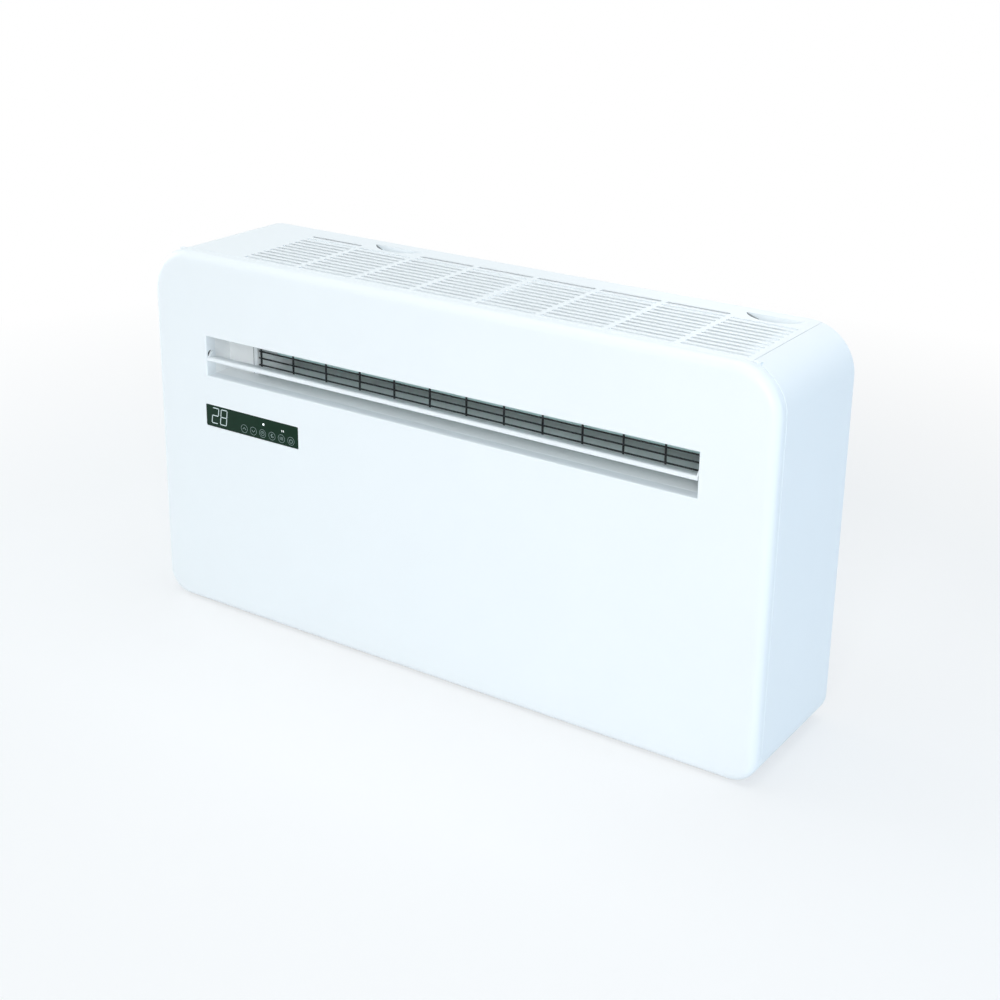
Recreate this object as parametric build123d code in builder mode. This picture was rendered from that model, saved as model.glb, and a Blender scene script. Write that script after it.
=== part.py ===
from build123d import *
import math
import os

# Sizes are in millimetres. X runs to the right, the front faces -Y and Z is up. The origin is the
# middle of the casing's underside.

# Casing
WIDTH = 1000.0
HEIGHT = 550.0
DEPTH = 220.0
TOP_CORNER = 64.0
BOTTOM_CORNER = 38.0
FRONT_ROUND = 13.0
WALL = 3.0
SHEET = 1.6
FRONT_RIM = 20.0
SIDE_WRAP = 48.0
PANEL_GAP = 0.3
SHUT_LINE = 0.6
EDGE_EASE = 0.8
REAR_RECESS = 7.0
RETURN_FLANGE = 12.0
PAN_HEIGHT = 30.0
PAN_CORNER = 6.0
PARTITION_FLANGE = 18.0
SCREW_RADIUS = 1.8
SCREW_HEAD = 4.0
SCREW_FIT = 0.15
SCREW_LEVELS = (0.2, 0.45, 0.7)

# Front panel's back
RIB = 2.0
RIB_DEPTH = 8.0
RIB_PITCH_X = 188.0
RIB_COLUMNS = 5
RIB_ROWS = 3
RIB_BASE = 92.0
RIB_HEADROOM = 17.0
CLIP_WIDTH = 30.0
CLIP_THICKNESS = 2.0
CLIP_REACH = 8.0
CLIP_LEVELS = (0.17, 0.45, 0.84)

# Air outlet
OUTLET_SIDE = 100.0
OUTLET_HEIGHT = 60.0
OUTLET_DROP = 121.0
OUTLET_EASE = 2.0
JAMB_DEPTH = 19.0
LINTEL_DEPTH = 9.0
BLANK_LENGTH = 47.5
DIVIDER = 7.5
CEILING_RISE = 7.5
TONGUE_DROP = 6.0
TONGUE_GAP = 9.0

# Outlet guard
GUARD_INSET = 50.0
GUARD_PITCH = 60.7
GUARD_MARGIN = 6.4
GUARD_BAR_RADIUS = 1.5
GUARD_ROD_RADIUS = 1.2
GUARD_RODS = 3
GUARD_ROD_PITCH = 10.3
GUARD_ROD_BASE = 14.5

# Flap
FLAP_INSET = 11.0
FLAP_NOSE = 9.0
FLAP_TAIL = 32.0
FLAP_OFFSET = 6.5
FLAP_THICKNESS = 6.5
FLAP_TAIL_THICKNESS = 2.0
FLAP_CAMBER = 1.5
FLAP_REST_ANGLE = 15.0
FLAP_END_GAP = 0.8
FLAP_PIN_RADIUS = 3.0
FLAP_EAR_RADIUS = 5.0
FLAP_EAR = 2.5
BUSH_RADIUS = 6.0
BUSH_FLANGE_RADIUS = 8.0
BUSH_FLANGE = 1.2
RUNNING_GAP = 0.05
FLAP_MOTOR_RADIUS = 12.0
FLAP_MOTOR_LENGTH = 18.0
FLAP_MOTOR_OFFSET = 8.0

# Cross-flow fan
FAN_RADIUS = 46.0
FAN_FLOOR_GAP = 8.0
FAN_SCROLL_GAP = 10.0
FAN_SETBACK = 70.0
FAN_END_GAP = 6.0
FAN_BLADES = 24
FAN_BLADE_DEPTH = 11.0
FAN_BLADE_SWEEP = 17.0
FAN_HUB = 10.0
FAN_TIP = 0.5
BLADE_BULGE = 2.0
BLADE_THICKNESS = 1.4
FAN_DISCS = 8
FAN_DISC = 2.0
FAN_SHAFT_RADIUS = 4.0
FAN_MOTOR_RADIUS = 38.0
FAN_MOTOR_LENGTH = 62.0
BEARING_RADIUS = 11.0
BEARING_LENGTH = 12.0
BEARING_FLANGE = 4.0
MOTOR_BORE = 14.0
MOTOR_EDGE = 3.0

# Top grille
GRILLE_PIVOT_INSET = 3.2
GRILLE_EDGE = 2.9
GRILLE_KNUCKLE = 2.8
GRILLE_PIN_RADIUS = 1.6
GRILLE_PIN_REACH = 7.0
SLOT_LENGTH = 91.0
SLOT_PITCH_X = 99.5
SLOT_WIDTH = 6.2
SLOT_PITCH_Y = 13.45
SLOT_FRONT_MARGIN = 11.0
SLOT_REAR_MARGIN = 37.0
SLOT_RIGHT_MARGIN = 9.0
SCOOP_LENGTH = 84.0
SCOOP_DEPTH = 25.0
SCOOP_REAR_MARGIN = 20.0
SCOOP_SINK = 12.0
SCOOP_TAPER = 12.0
GRILLE_FLANGE = 6.0
FILTER_BORDER = 8.0
FILTER_THICKNESS = 8.0
FILTER_BAR = 3.0
FILTER_BARS = 3
FILTER_MESH = 0.8
FILTER_RIB = 4.0

# Evaporator and drip tray
COIL_THICKNESS = 22.0
COIL_FRONT_INSET = 40.0
COIL_FRONT_DROP = 88.0
COIL_REAR_INSET = 22.0
COIL_REAR_DROP = 28.0
COIL_PLATE = 1.5
COIL_PLATE_RIM = 5.0
TUBE_RADIUS = 3.5
COIL_TUBES = 8
FIN = 1.0
FIN_PITCH = 6.0
TRAY_INSET = 18.0
TRAY_DEPTH = 42.0
TRAY_HEIGHT = 12.0

# Wall ducts
DUCT_RADIUS = 80.0
DUCT_WALL = 2.5
DUCT_FLANGE = 12.0
DUCT_LENGTH = 24.0
DUCT_PITCH = 350.0
DUCT_LEVEL = 140.0
DUCT_GAP = 0.3

# Condenser
CONDENSER_SIDE_GAP = 65.0
CONDENSER_BLOWER_GAP = 125.0
CONDENSER_HEADROOM = 28.4
CONDENSER_THICKNESS = 26.0
CONDENSER_BASE = 36.0
CONDENSER_GAP = 8.0

# Condenser fan
BLOWER_WIDTH = 150.0
BLOWER_WALL = 2.5
BLOWER_FRONT_GAP = 17.0
BLOWER_REAR_GAP = 12.0
BLOWER_RISE = 60.0
BLOWER_MOUTH = 160.0
BLOWER_TONGUE_ANGLE = 10.0
WHEEL_GAP = 12.0
WHEEL_BLADE_DEPTH = 14.0
WHEEL_WIDTH = 96.0
WHEEL_BLADES = 20
WHEEL_BLADE_SWEEP = 16.0
WHEEL_PLATE = 2.0
BLOWER_MOTOR_RADIUS = 40.0
BLOWER_MOTOR_LENGTH = 58.0

# Refrigerant circuit
COMPRESSOR_SIDE_GAP = 107.0
COMPRESSOR_CONDENSER_GAP = 70.0
COMPRESSOR_RADIUS = 55.0
DISCHARGE_RISE = 43.65
COMPRESSOR_BAND = 1.2
COMPRESSOR_BAND_HEIGHT = 4.0
COMPRESSOR_DOME = 24.0
COMPRESSOR_FOOT = 3.0
MOUNT_RADIUS = 10.0
MOUNT_HEIGHT = 14.0
MOUNT_CIRCLE = 52.0
MOUNT_COUNT = 3
ACCUMULATOR_ANGLE = -38.0
ACCUMULATOR_DOME = 10.0
SUCTION_DROP = 25.0
SUCTION_BEND = 12.0
ACCUMULATOR_RADIUS = 22.0
ACCUMULATOR_HEIGHT = 160.0
ACCUMULATOR_BASE = 70.0
ACCUMULATOR_GAP = 12.0
PIPE_RADIUS = 4.0
PIPE_BEND = 16.0
PIPE_CLEARANCE = 4.0

# Electrical parts
BOX_SIDE_GAP = 17.0
BOX_MOTOR_GAP = 42.0
BOX_DEPTH = 110.0
BOX_HEIGHT = 240.0
BOX_WALL = 2.0
BOX_INSET = 10.0
BOARD = 1.6
DISPLAY_LENGTH = 176.0
DISPLAY_HEIGHT = 33.5
DISPLAY_OVERHANG = 5.0
DISPLAY_DROP = 43.5
DISPLAY_CORNER = 2.0
DISPLAY_GAP = 0.25
DISPLAY_BOARD_DEPTH = 9.0
DISPLAY_BOARD_RIM = 6.0
GLAND_RADIUS = 9.5
GLAND_INSET = 57.0
GLAND_LEVEL = 70.0
SPIGOT_RADIUS = 7.0
SPIGOT_BORE = 5.0
SPIGOT_COLLAR = 1.5
SPIGOT_X = -330.0
SPIGOT_LEVEL = 16.0

# Wall hook slots in the rear plate
HOOK_PITCH_X = 560.0
HOOK_PITCH_Z = 60.0
HOOK_LENGTH = 26.0
HOOK_WIDTH = 8.0
HOOK_DROP = 70.0

# Pressed beads in the rear plate
BEAD_WIDTH = 16.0
BEAD_RISE = 2.5
BEAD_TAPER = 35.0
BEAD_LENGTH = 360.0
BEAD_PITCH_X = 430.0
BEAD_PITCH_Z = 48.0
BEAD_LEVEL = 304.0

# Places worked out from the sizes
FRONT = -DEPTH / 2
BACK = DEPTH / 2
SEAM_Y = FRONT + FRONT_RIM
SKIN_Y = FRONT + WALL
BODY_FRONT = SEAM_Y + SHUT_LINE
PLATE_BACK = BACK - REAR_RECESS
PLATE_FRONT = PLATE_BACK - SHEET
INSIDE_HALF = WIDTH / 2 - WALL
WRAP_X = WIDTH / 2 - SIDE_WRAP

OUTLET_LENGTH = WIDTH - 2 * OUTLET_SIDE
OUTLET_HALF = OUTLET_LENGTH / 2
OUTLET_TOP = HEIGHT - OUTLET_DROP
OUTLET_FLOOR = OUTLET_TOP - OUTLET_HEIGHT
OUTLET_MIDDLE = OUTLET_FLOOR + OUTLET_HEIGHT / 2
JAMB_BACK = FRONT + JAMB_DEPTH
GUARD_Y = FRONT + GUARD_INSET
DUCT_LEFT = -OUTLET_HALF + BLANK_LENGTH + DIVIDER
DUCT_LEFT_OUTER = DUCT_LEFT - DIVIDER
DUCT_RIGHT = OUTLET_HALF
DUCT_RIGHT_OUTER = DUCT_RIGHT + WALL
CEILING = OUTLET_TOP + CEILING_RISE
PARTITION_TOP = OUTLET_FLOOR - WALL
PARTITION_BOTTOM = PARTITION_TOP - SHEET
GUARD_BARS = int((DUCT_RIGHT - DUCT_LEFT - GUARD_MARGIN) / GUARD_PITCH) + 1

FLAP_Y = FRONT + FLAP_INSET
FLAP_Z = OUTLET_MIDDLE
FAN_Y = GUARD_Y + FAN_SETBACK
FAN_Z = OUTLET_FLOOR + FAN_FLOOR_GAP + FAN_RADIUS
FAN_LEFT = DUCT_LEFT + FAN_END_GAP
FAN_RIGHT = DUCT_RIGHT - FAN_END_GAP

GRILLE_HALF = WRAP_X - SHUT_LINE
GRILLE_UNDERSIDE = HEIGHT - WALL
PIVOT_Y = BODY_FRONT + GRILLE_PIVOT_INSET
PIVOT_Z = HEIGHT - GRILLE_PIVOT_INSET
SLOT_RIGHT = WRAP_X - SLOT_RIGHT_MARGIN
SLOT_COLUMNS = int((SLOT_RIGHT + WIDTH / 2 - TOP_CORNER) / SLOT_PITCH_X)
SLOT_LEFT = SLOT_RIGHT - (SLOT_COLUMNS - 1) * SLOT_PITCH_X - SLOT_LENGTH
SLOT_FIRST_Y = SEAM_Y + SLOT_FRONT_MARGIN
SLOT_ROWS = int((BACK - SLOT_REAR_MARGIN - SLOT_FIRST_Y) / SLOT_PITCH_Y) + 1
SCOOP_COLUMNS = (1, SLOT_COLUMNS - 1)
SCOOP_REAR = BACK - SCOOP_REAR_MARGIN
FILTER_FRONT_Y = PIVOT_Y + GRILLE_KNUCKLE + PANEL_GAP + FILTER_BORDER / 2
FILTER_REAR_Y = SCOOP_REAR - SCOOP_DEPTH - WALL - PANEL_GAP

COIL_FRONT_Y = FRONT + COIL_FRONT_INSET
COIL_REAR_Y = BACK - COIL_REAR_INSET
TRAY_FRONT_Y = FRONT + TRAY_INSET
TRAY_REAR_Y = TRAY_FRONT_Y + TRAY_DEPTH

BLOWER_X = -DUCT_PITCH / 2
BLOWER_MOUTH_Y = BACK - DUCT_LENGTH
BLOWER_RADIUS = (BLOWER_MOUTH_Y - SKIN_Y - BLOWER_FRONT_GAP - BLOWER_REAR_GAP) / 2
BLOWER_Y = SKIN_Y + BLOWER_FRONT_GAP + BLOWER_RADIUS
WHEEL_RADIUS = BLOWER_RADIUS - WHEEL_GAP
WHEEL_INNER_RADIUS = WHEEL_RADIUS - WHEEL_BLADE_DEPTH
BLOWER_INLET = WHEEL_INNER_RADIUS

COMPRESSOR_X = INSIDE_HALF - COMPRESSOR_SIDE_GAP
CONDENSER_LEFT = BLOWER_X + BLOWER_WIDTH / 2 + CONDENSER_BLOWER_GAP
CONDENSER_RIGHT = COMPRESSOR_X - CONDENSER_SIDE_GAP
CONDENSER_LENGTH = CONDENSER_RIGHT - CONDENSER_LEFT
CONDENSER_X = (CONDENSER_LEFT + CONDENSER_RIGHT) / 2
CONDENSER_HEIGHT = PARTITION_BOTTOM - CONDENSER_HEADROOM - CONDENSER_BASE
CONDENSER_BACK = BACK - DUCT_LENGTH - CONDENSER_GAP
CONDENSER_FRONT = CONDENSER_BACK - CONDENSER_THICKNESS
CONDENSER_Y = (CONDENSER_BACK + CONDENSER_FRONT) / 2
COMPRESSOR_Y = CONDENSER_Y - COMPRESSOR_CONDENSER_GAP
COMPRESSOR_BASE = SHEET + MOUNT_HEIGHT + COMPRESSOR_FOOT
DISCHARGE_Z = CONDENSER_BASE + CONDENSER_HEIGHT * (COIL_TUBES - 0.5) / COIL_TUBES
COMPRESSOR_TOP = DISCHARGE_Z - DISCHARGE_RISE
LIQUID_X = INSIDE_HALF - PIPE_RADIUS - 2 * PIPE_CLEARANCE

BOX_LEFT = BOX_SIDE_GAP - INSIDE_HALF
BOX_RIGHT = BLOWER_X - BLOWER_WIDTH / 2 - BLOWER_MOTOR_LENGTH - BOX_MOTOR_GAP
BOX_LENGTH = BOX_RIGHT - BOX_LEFT
BOX_X = (BOX_LEFT + BOX_RIGHT) / 2
BOX_FRONT_Y = SEAM_Y + BOX_INSET
DISPLAY_X = -OUTLET_HALF - DISPLAY_OVERHANG + DISPLAY_LENGTH / 2
DISPLAY_Z = OUTLET_FLOOR - DISPLAY_DROP - DISPLAY_HEIGHT / 2
GLAND_X = GLAND_INSET - INSIDE_HALF
RIB_TOP = DISPLAY_Z - DISPLAY_HEIGHT / 2 - DISPLAY_BOARD_RIM - RIB_HEADROOM


def casing_face(inset, mode=Mode.ADD):
    """Puts the casing's front outline, pulled in by inset, into the sketch that is open."""
    half = WIDTH / 2 - inset
    top = TOP_CORNER - inset
    bottom = BOTTOM_CORNER - inset
    corners = [(-half, inset), (half, inset), (half, HEIGHT - inset), (-half, HEIGHT - inset)]
    with BuildLine() as outline:
        FilletPolyline(*corners, radius=[bottom, bottom, top, top], close=True)
    make_face(outline.edges(), mode=mode)


def along_x(y, z):
    """The place of a cylinder that lies along X through the given Y and Z."""
    return Location((0, y, z), (0, 90, 0))


def point_round(centre, radius, degrees):
    """A point on a circle, by its angle from the first axis towards the second."""
    angle = math.radians(degrees)
    return (centre[0] + radius * math.cos(angle), centre[1] + radius * math.sin(angle))


coil_run = (COIL_REAR_Y - COIL_FRONT_Y, COIL_FRONT_DROP - COIL_REAR_DROP)
coil_span = math.hypot(*coil_run)
coil_tilt = math.degrees(math.atan2(coil_run[1], coil_run[0]))


def coil_level(y, offset=0.0):
    """The height of the evaporator's middle plane at Y, shifted square to it by offset."""
    rise = (y - COIL_FRONT_Y) * coil_run[1] / coil_run[0]
    return HEIGHT - COIL_FRONT_DROP + rise + offset / math.cos(math.radians(coil_tilt))


def tube_offset(index, span):
    """Where a coil's tube lies along its span, counted from the middle."""
    return span * ((index + 0.5) / COIL_TUBES - 0.5)


def coil_point(offset):
    """Y and Z of the place on the evaporator's middle plane at an offset along its slope."""
    middle = (COIL_FRONT_Y + coil_run[0] / 2, HEIGHT - COIL_FRONT_DROP + coil_run[1] / 2)
    return point_round(middle, offset, coil_tilt)


compressor_place = (COMPRESSOR_X, COMPRESSOR_Y)
accumulator_distance = COMPRESSOR_RADIUS + ACCUMULATOR_RADIUS + ACCUMULATOR_GAP
accumulator_place = point_round(compressor_place, accumulator_distance, ACCUMULATOR_ANGLE)
liquid_port = coil_point(tube_offset(0, coil_span))
suction_port = coil_point(tube_offset(COIL_TUBES - 1, coil_span))


# Front panel: a moulded shell with a collar round the outlet
with BuildPart() as front_cavity:
    with BuildSketch(Plane.XZ.offset(-SEAM_Y)):
        casing_face(WALL)
    extrude(amount=FRONT_RIM - WALL)
    fillet(front_cavity.faces().sort_by(Axis.Y)[0].edges(), FRONT_ROUND - WALL)

with BuildPart() as front_panel:
    with BuildSketch(Plane.XZ.offset(-SEAM_Y)):
        casing_face(0)
    extrude(amount=FRONT_RIM)
    fillet(front_panel.faces().sort_by(Axis.Y)[0].edges(), FRONT_ROUND)
    fillet(front_panel.faces().sort_by(Axis.Y)[-1].edges(), EDGE_EASE)
    add(front_cavity.part, mode=Mode.SUBTRACT)
    with BuildSketch(Plane.XZ.offset(-JAMB_BACK)):
        with Locations((0, OUTLET_MIDDLE)):
            Rectangle(OUTLET_LENGTH + 2 * WALL, OUTLET_HEIGHT + 2 * WALL)
    extrude(amount=JAMB_DEPTH - WALL)
    with BuildSketch(Plane.XZ.offset(-JAMB_BACK)):
        with Locations((0, OUTLET_MIDDLE)):
            Rectangle(OUTLET_LENGTH, OUTLET_HEIGHT)
    extrude(amount=JAMB_DEPTH, mode=Mode.SUBTRACT)
    fillet(front_panel.faces().sort_by(Axis.Y)[0].inner_wires()[0].edges(), OUTLET_EASE)
    with BuildSketch(Plane.XZ.offset(-JAMB_BACK)):
        with Locations((0, OUTLET_TOP)):
            Rectangle(OUTLET_LENGTH, 2 * WALL + 2 * EDGE_EASE)
    extrude(amount=JAMB_DEPTH - LINTEL_DEPTH, mode=Mode.SUBTRACT)
    with Locations(along_x(FLAP_Y, FLAP_Z)):
        Cylinder(BUSH_RADIUS, OUTLET_LENGTH + 4 * WALL, mode=Mode.SUBTRACT)
    with BuildSketch(Plane.XZ.offset(-SKIN_Y)):
        with Locations((DISPLAY_X, DISPLAY_Z)):
            RectangleRounded(DISPLAY_LENGTH, DISPLAY_HEIGHT, DISPLAY_CORNER)
    extrude(amount=WALL, mode=Mode.SUBTRACT)
    rib_height = RIB_TOP - RIB_BASE
    rib_length = (RIB_COLUMNS - 1) * RIB_PITCH_X
    with BuildSketch(Plane.XZ.offset(-SKIN_Y)):
        with Locations((0, RIB_BASE + rib_height / 2)):
            with GridLocations(RIB_PITCH_X, 0, RIB_COLUMNS, 1):
                Rectangle(RIB, rib_height)
            with GridLocations(0, rib_height / (RIB_ROWS - 1), 1, RIB_ROWS):
                Rectangle(rib_length + RIB, RIB)
    extrude(amount=-RIB_DEPTH)
    clip_x = INSIDE_HALF - CLIP_THICKNESS / 2
    clip_places = [(side * clip_x, SEAM_Y, level * HEIGHT) for side in (-1, 1) for level in CLIP_LEVELS]
    with Locations(*clip_places):
        Box(CLIP_THICKNESS, 2 * CLIP_REACH, CLIP_WIDTH)
front_panel.part.label = "front_panel"


# Side panels: one wraps over the top and under the bottom, the other is its mirror image
side_depth = BACK - BODY_FRONT
screw_inset = WALL + RETURN_FLANGE / 2
screw_x = WIDTH / 2 - screw_inset
screw_levels = [HEIGHT * share for share in SCREW_LEVELS]
with BuildPart() as right_side_panel:
    with BuildSketch(Plane.XZ.offset(-BODY_FRONT)):
        casing_face(0)
        with Locations((WIDTH / 2, 0)):
            Rectangle(SIDE_WRAP, HEIGHT, align=(Align.MAX, Align.MIN), mode=Mode.INTERSECT)
    extrude(amount=-side_depth)
    front_edges = right_side_panel.faces().sort_by(Axis.Y)[0].edges()
    fillet(front_edges.sort_by(Axis.X)[1:], EDGE_EASE)
    with BuildSketch(Plane.XZ.offset(-BODY_FRONT)):
        casing_face(WALL)
    extrude(amount=-side_depth, mode=Mode.SUBTRACT)
    with BuildSketch(Plane.XZ.offset(-PLATE_FRONT)):
        casing_face(WALL)
        casing_face(WALL + RETURN_FLANGE, mode=Mode.SUBTRACT)
        with Locations((WIDTH / 2, 0)):
            Rectangle(SIDE_WRAP, HEIGHT, align=(Align.MAX, Align.MIN), mode=Mode.INTERSECT)
    extrude(amount=WALL)
    with Locations((WRAP_X, BODY_FRONT, GRILLE_UNDERSIDE + EDGE_EASE)):
        Box(
            GRILLE_PIN_REACH + WALL,
            2 * GRILLE_PIVOT_INSET,
            2 * GRILLE_PIVOT_INSET,
            align=(Align.MIN, Align.MIN, Align.MAX),
        )
    with BuildSketch(Plane.YZ.offset(WRAP_X)):
        with Locations((PIVOT_Y, PIVOT_Z)):
            Circle(GRILLE_PIN_RADIUS + RUNNING_GAP)
    extrude(amount=GRILLE_PIN_REACH + PANEL_GAP, mode=Mode.SUBTRACT)
    with BuildSketch(Plane.XZ.offset(-PLATE_FRONT)):
        with Locations(*[(screw_x, level) for level in screw_levels]):
            Circle(SCREW_RADIUS + SCREW_FIT)
    extrude(amount=WALL, mode=Mode.SUBTRACT)
right_side_panel.part.label = "right_side_panel"

with BuildPart() as left_side_panel:
    mirror(right_side_panel.part, about=Plane.YZ)
left_side_panel.part.label = "left_side_panel"


# Base pan
pan_length = 2 * (WRAP_X - PANEL_GAP)
pan_depth = PLATE_FRONT - BODY_FRONT
pan_y = (PLATE_FRONT + BODY_FRONT) / 2
with BuildPart() as base_pan:
    with BuildSketch():
        with Locations((0, pan_y)):
            RectangleRounded(pan_length, pan_depth, PAN_CORNER)
    extrude(amount=PAN_HEIGHT)
    offset(amount=-SHEET, openings=base_pan.faces().sort_by(Axis.Z)[-1])
    with BuildSketch(Plane.XZ.offset(-PLATE_FRONT)):
        with Locations((SPIGOT_X, SPIGOT_LEVEL)):
            Circle(SPIGOT_RADIUS + DUCT_GAP)
    extrude(amount=2 * SHEET, mode=Mode.SUBTRACT)
base_pan.part.label = "base_pan"


# Rear plate with the two duct holes, the wall hook slots and pressed beads
hook_level = HEIGHT - HOOK_DROP - HOOK_PITCH_Z / 2
with BuildPart() as rear_plate:
    with BuildSketch(Plane.XZ.offset(-PLATE_BACK)):
        casing_face(WALL + PANEL_GAP)
        with Locations((-DUCT_PITCH / 2, DUCT_LEVEL), (DUCT_PITCH / 2, DUCT_LEVEL)):
            Circle(DUCT_RADIUS + DUCT_WALL + DUCT_GAP, mode=Mode.SUBTRACT)
        with Locations((0, hook_level)):
            with GridLocations(HOOK_PITCH_X, HOOK_PITCH_Z, 2, 2):
                SlotOverall(HOOK_LENGTH, HOOK_WIDTH, mode=Mode.SUBTRACT)
        with Locations((SPIGOT_X, SPIGOT_LEVEL)):
            Circle(SPIGOT_RADIUS + DUCT_GAP, mode=Mode.SUBTRACT)
        with Locations((GLAND_X, GLAND_LEVEL)):
            Circle(GLAND_RADIUS + DUCT_GAP, mode=Mode.SUBTRACT)
        with Locations(*[(side * screw_x, level) for side in (-1, 1) for level in screw_levels]):
            Circle(SCREW_RADIUS + SCREW_FIT, mode=Mode.SUBTRACT)
    extrude(amount=SHEET)
    for bead_y, width, mode in (
        (PLATE_BACK, BEAD_WIDTH, Mode.ADD),
        (PLATE_FRONT, BEAD_WIDTH - SHEET, Mode.SUBTRACT),
    ):
        with BuildSketch(Plane.XZ.offset(-bead_y)):
            with Locations((0, BEAD_LEVEL)):
                with GridLocations(BEAD_PITCH_X, BEAD_PITCH_Z, 2, 2):
                    SlotOverall(BEAD_LENGTH, width)
            with Locations((0, hook_level)):
                SlotOverall(BEAD_LENGTH, width)
            with Locations((0, DUCT_LEVEL)):
                SlotOverall(2 * DUCT_RADIUS, width, rotation=90)
        extrude(amount=-BEAD_RISE, taper=BEAD_TAPER, mode=mode)
rear_plate.part.label = "rear_plate"


# Screws that hold the rear plate to the side panels
with BuildPart() as casing_screws:
    with BuildSketch(Plane.XZ.offset(-PLATE_BACK)):
        with Locations(*[(side * screw_x, level) for side in (-1, 1) for level in screw_levels]):
            Circle(SCREW_HEAD)
    extrude(amount=-SCREW_RADIUS)
    with BuildSketch(Plane.XZ.offset(-PLATE_BACK)):
        with Locations(*[(side * screw_x, level) for side in (-1, 1) for level in screw_levels]):
            Circle(SCREW_RADIUS)
    extrude(amount=SHEET + WALL)
casing_screws.part.label = "casing_screws"


# Partition between the room section above and the outdoor section below
partition_half = INSIDE_HALF - PANEL_GAP
partition_front = BODY_FRONT + PANEL_GAP
partition_depth = PLATE_FRONT - WALL - PANEL_GAP - partition_front
riser_places = [(LIQUID_X, CONDENSER_Y), (accumulator_place[0], suction_port[0])]
with BuildPart() as partition_plate:
    with BuildSketch(Plane.XY.offset(PARTITION_BOTTOM)):
        with Locations((0, partition_front)):
            Rectangle(2 * partition_half, partition_depth, align=(Align.CENTER, Align.MIN))
        with Locations((0, PLATE_FRONT)):
            rear_strip = 2 * (partition_half - RETURN_FLANGE - PANEL_GAP)
            Rectangle(rear_strip, 2 * WALL, align=(Align.CENTER, Align.MAX))
        with Locations(*riser_places):
            Circle(PIPE_RADIUS + PIPE_CLEARANCE, mode=Mode.SUBTRACT)
    extrude(amount=SHEET)
    with BuildSketch(Plane.XY.offset(PARTITION_BOTTOM)):
        with Locations((0, partition_front)):
            with GridLocations(2 * partition_half - SHEET, 0, 2, 1):
                Rectangle(SHEET, partition_depth, align=(Align.CENTER, Align.MIN))
    extrude(amount=-PARTITION_FLANGE)
partition_plate.part.label = "partition_plate"


# Top grille: a plate that follows the casing's outline, hinged along its front edge
with BuildPart() as top_grille:
    with BuildSketch(Plane.XZ.offset(-BODY_FRONT)):
        casing_face(0)
        with Locations((0, HEIGHT)):
            grille_size = (2 * GRILLE_HALF, 4 * WALL)
            Rectangle(*grille_size, align=(Align.CENTER, Align.MAX), mode=Mode.INTERSECT)
    extrude(amount=-(BACK - BODY_FRONT))
    grille_front = top_grille.faces().sort_by(Axis.Y)[0]
    fillet(grille_front.edges().filter_by_position(Axis.Z, HEIGHT - WALL, HEIGHT), GRILLE_EDGE)
    with BuildSketch(Plane.XZ.offset(-BODY_FRONT)):
        casing_face(WALL)
    extrude(amount=-(BACK - BODY_FRONT), mode=Mode.SUBTRACT)
    with Locations(along_x(PIVOT_Y, PIVOT_Z)):
        Cylinder(GRILLE_KNUCKLE, WIDTH - 2 * TOP_CORNER)
    with Locations(along_x(PIVOT_Y, PIVOT_Z)):
        Cylinder(GRILLE_PIN_RADIUS, 2 * (WRAP_X + GRILLE_PIN_REACH))
    with BuildSketch(Plane.XY.offset(GRILLE_UNDERSIDE)):
        with Locations((0, BACK)):
            Rectangle(2 * (GRILLE_HALF - TOP_CORNER), WALL, align=(Align.CENTER, Align.MAX))
    extrude(amount=-GRILLE_FLANGE)
    for column in SCOOP_COLUMNS:
        scoop_x = SLOT_LEFT + column * SLOT_PITCH_X + SLOT_LENGTH / 2
        for grown, depth, mode in ((WALL, SCOOP_SINK + WALL, Mode.ADD), (0, SCOOP_SINK, Mode.SUBTRACT)):
            with BuildSketch(Plane.XY.offset(HEIGHT)):
                with BuildLine():
                    left = (scoop_x - SCOOP_LENGTH / 2 - grown, SCOOP_REAR + grown)
                    right = (scoop_x + SCOOP_LENGTH / 2 + grown, SCOOP_REAR + grown)
                    ThreePointArc(left, (scoop_x, SCOOP_REAR - SCOOP_DEPTH - grown), right)
                    Line(right, left)
                make_face()
            extrude(amount=-depth, taper=SCOOP_TAPER, mode=mode)
    with BuildSketch(Plane.XY.offset(GRILLE_UNDERSIDE)):
        for column in range(SLOT_COLUMNS):
            for row in range(SLOT_ROWS - (1 if column in SCOOP_COLUMNS else 0)):
                slot_x = SLOT_LEFT + column * SLOT_PITCH_X
                with Locations((slot_x, SLOT_FIRST_Y + row * SLOT_PITCH_Y)):
                    Rectangle(SLOT_LENGTH, SLOT_WIDTH, align=(Align.MIN, Align.CENTER))
    extrude(amount=WALL, mode=Mode.SUBTRACT)
top_grille.part.label = "top_grille"


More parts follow.
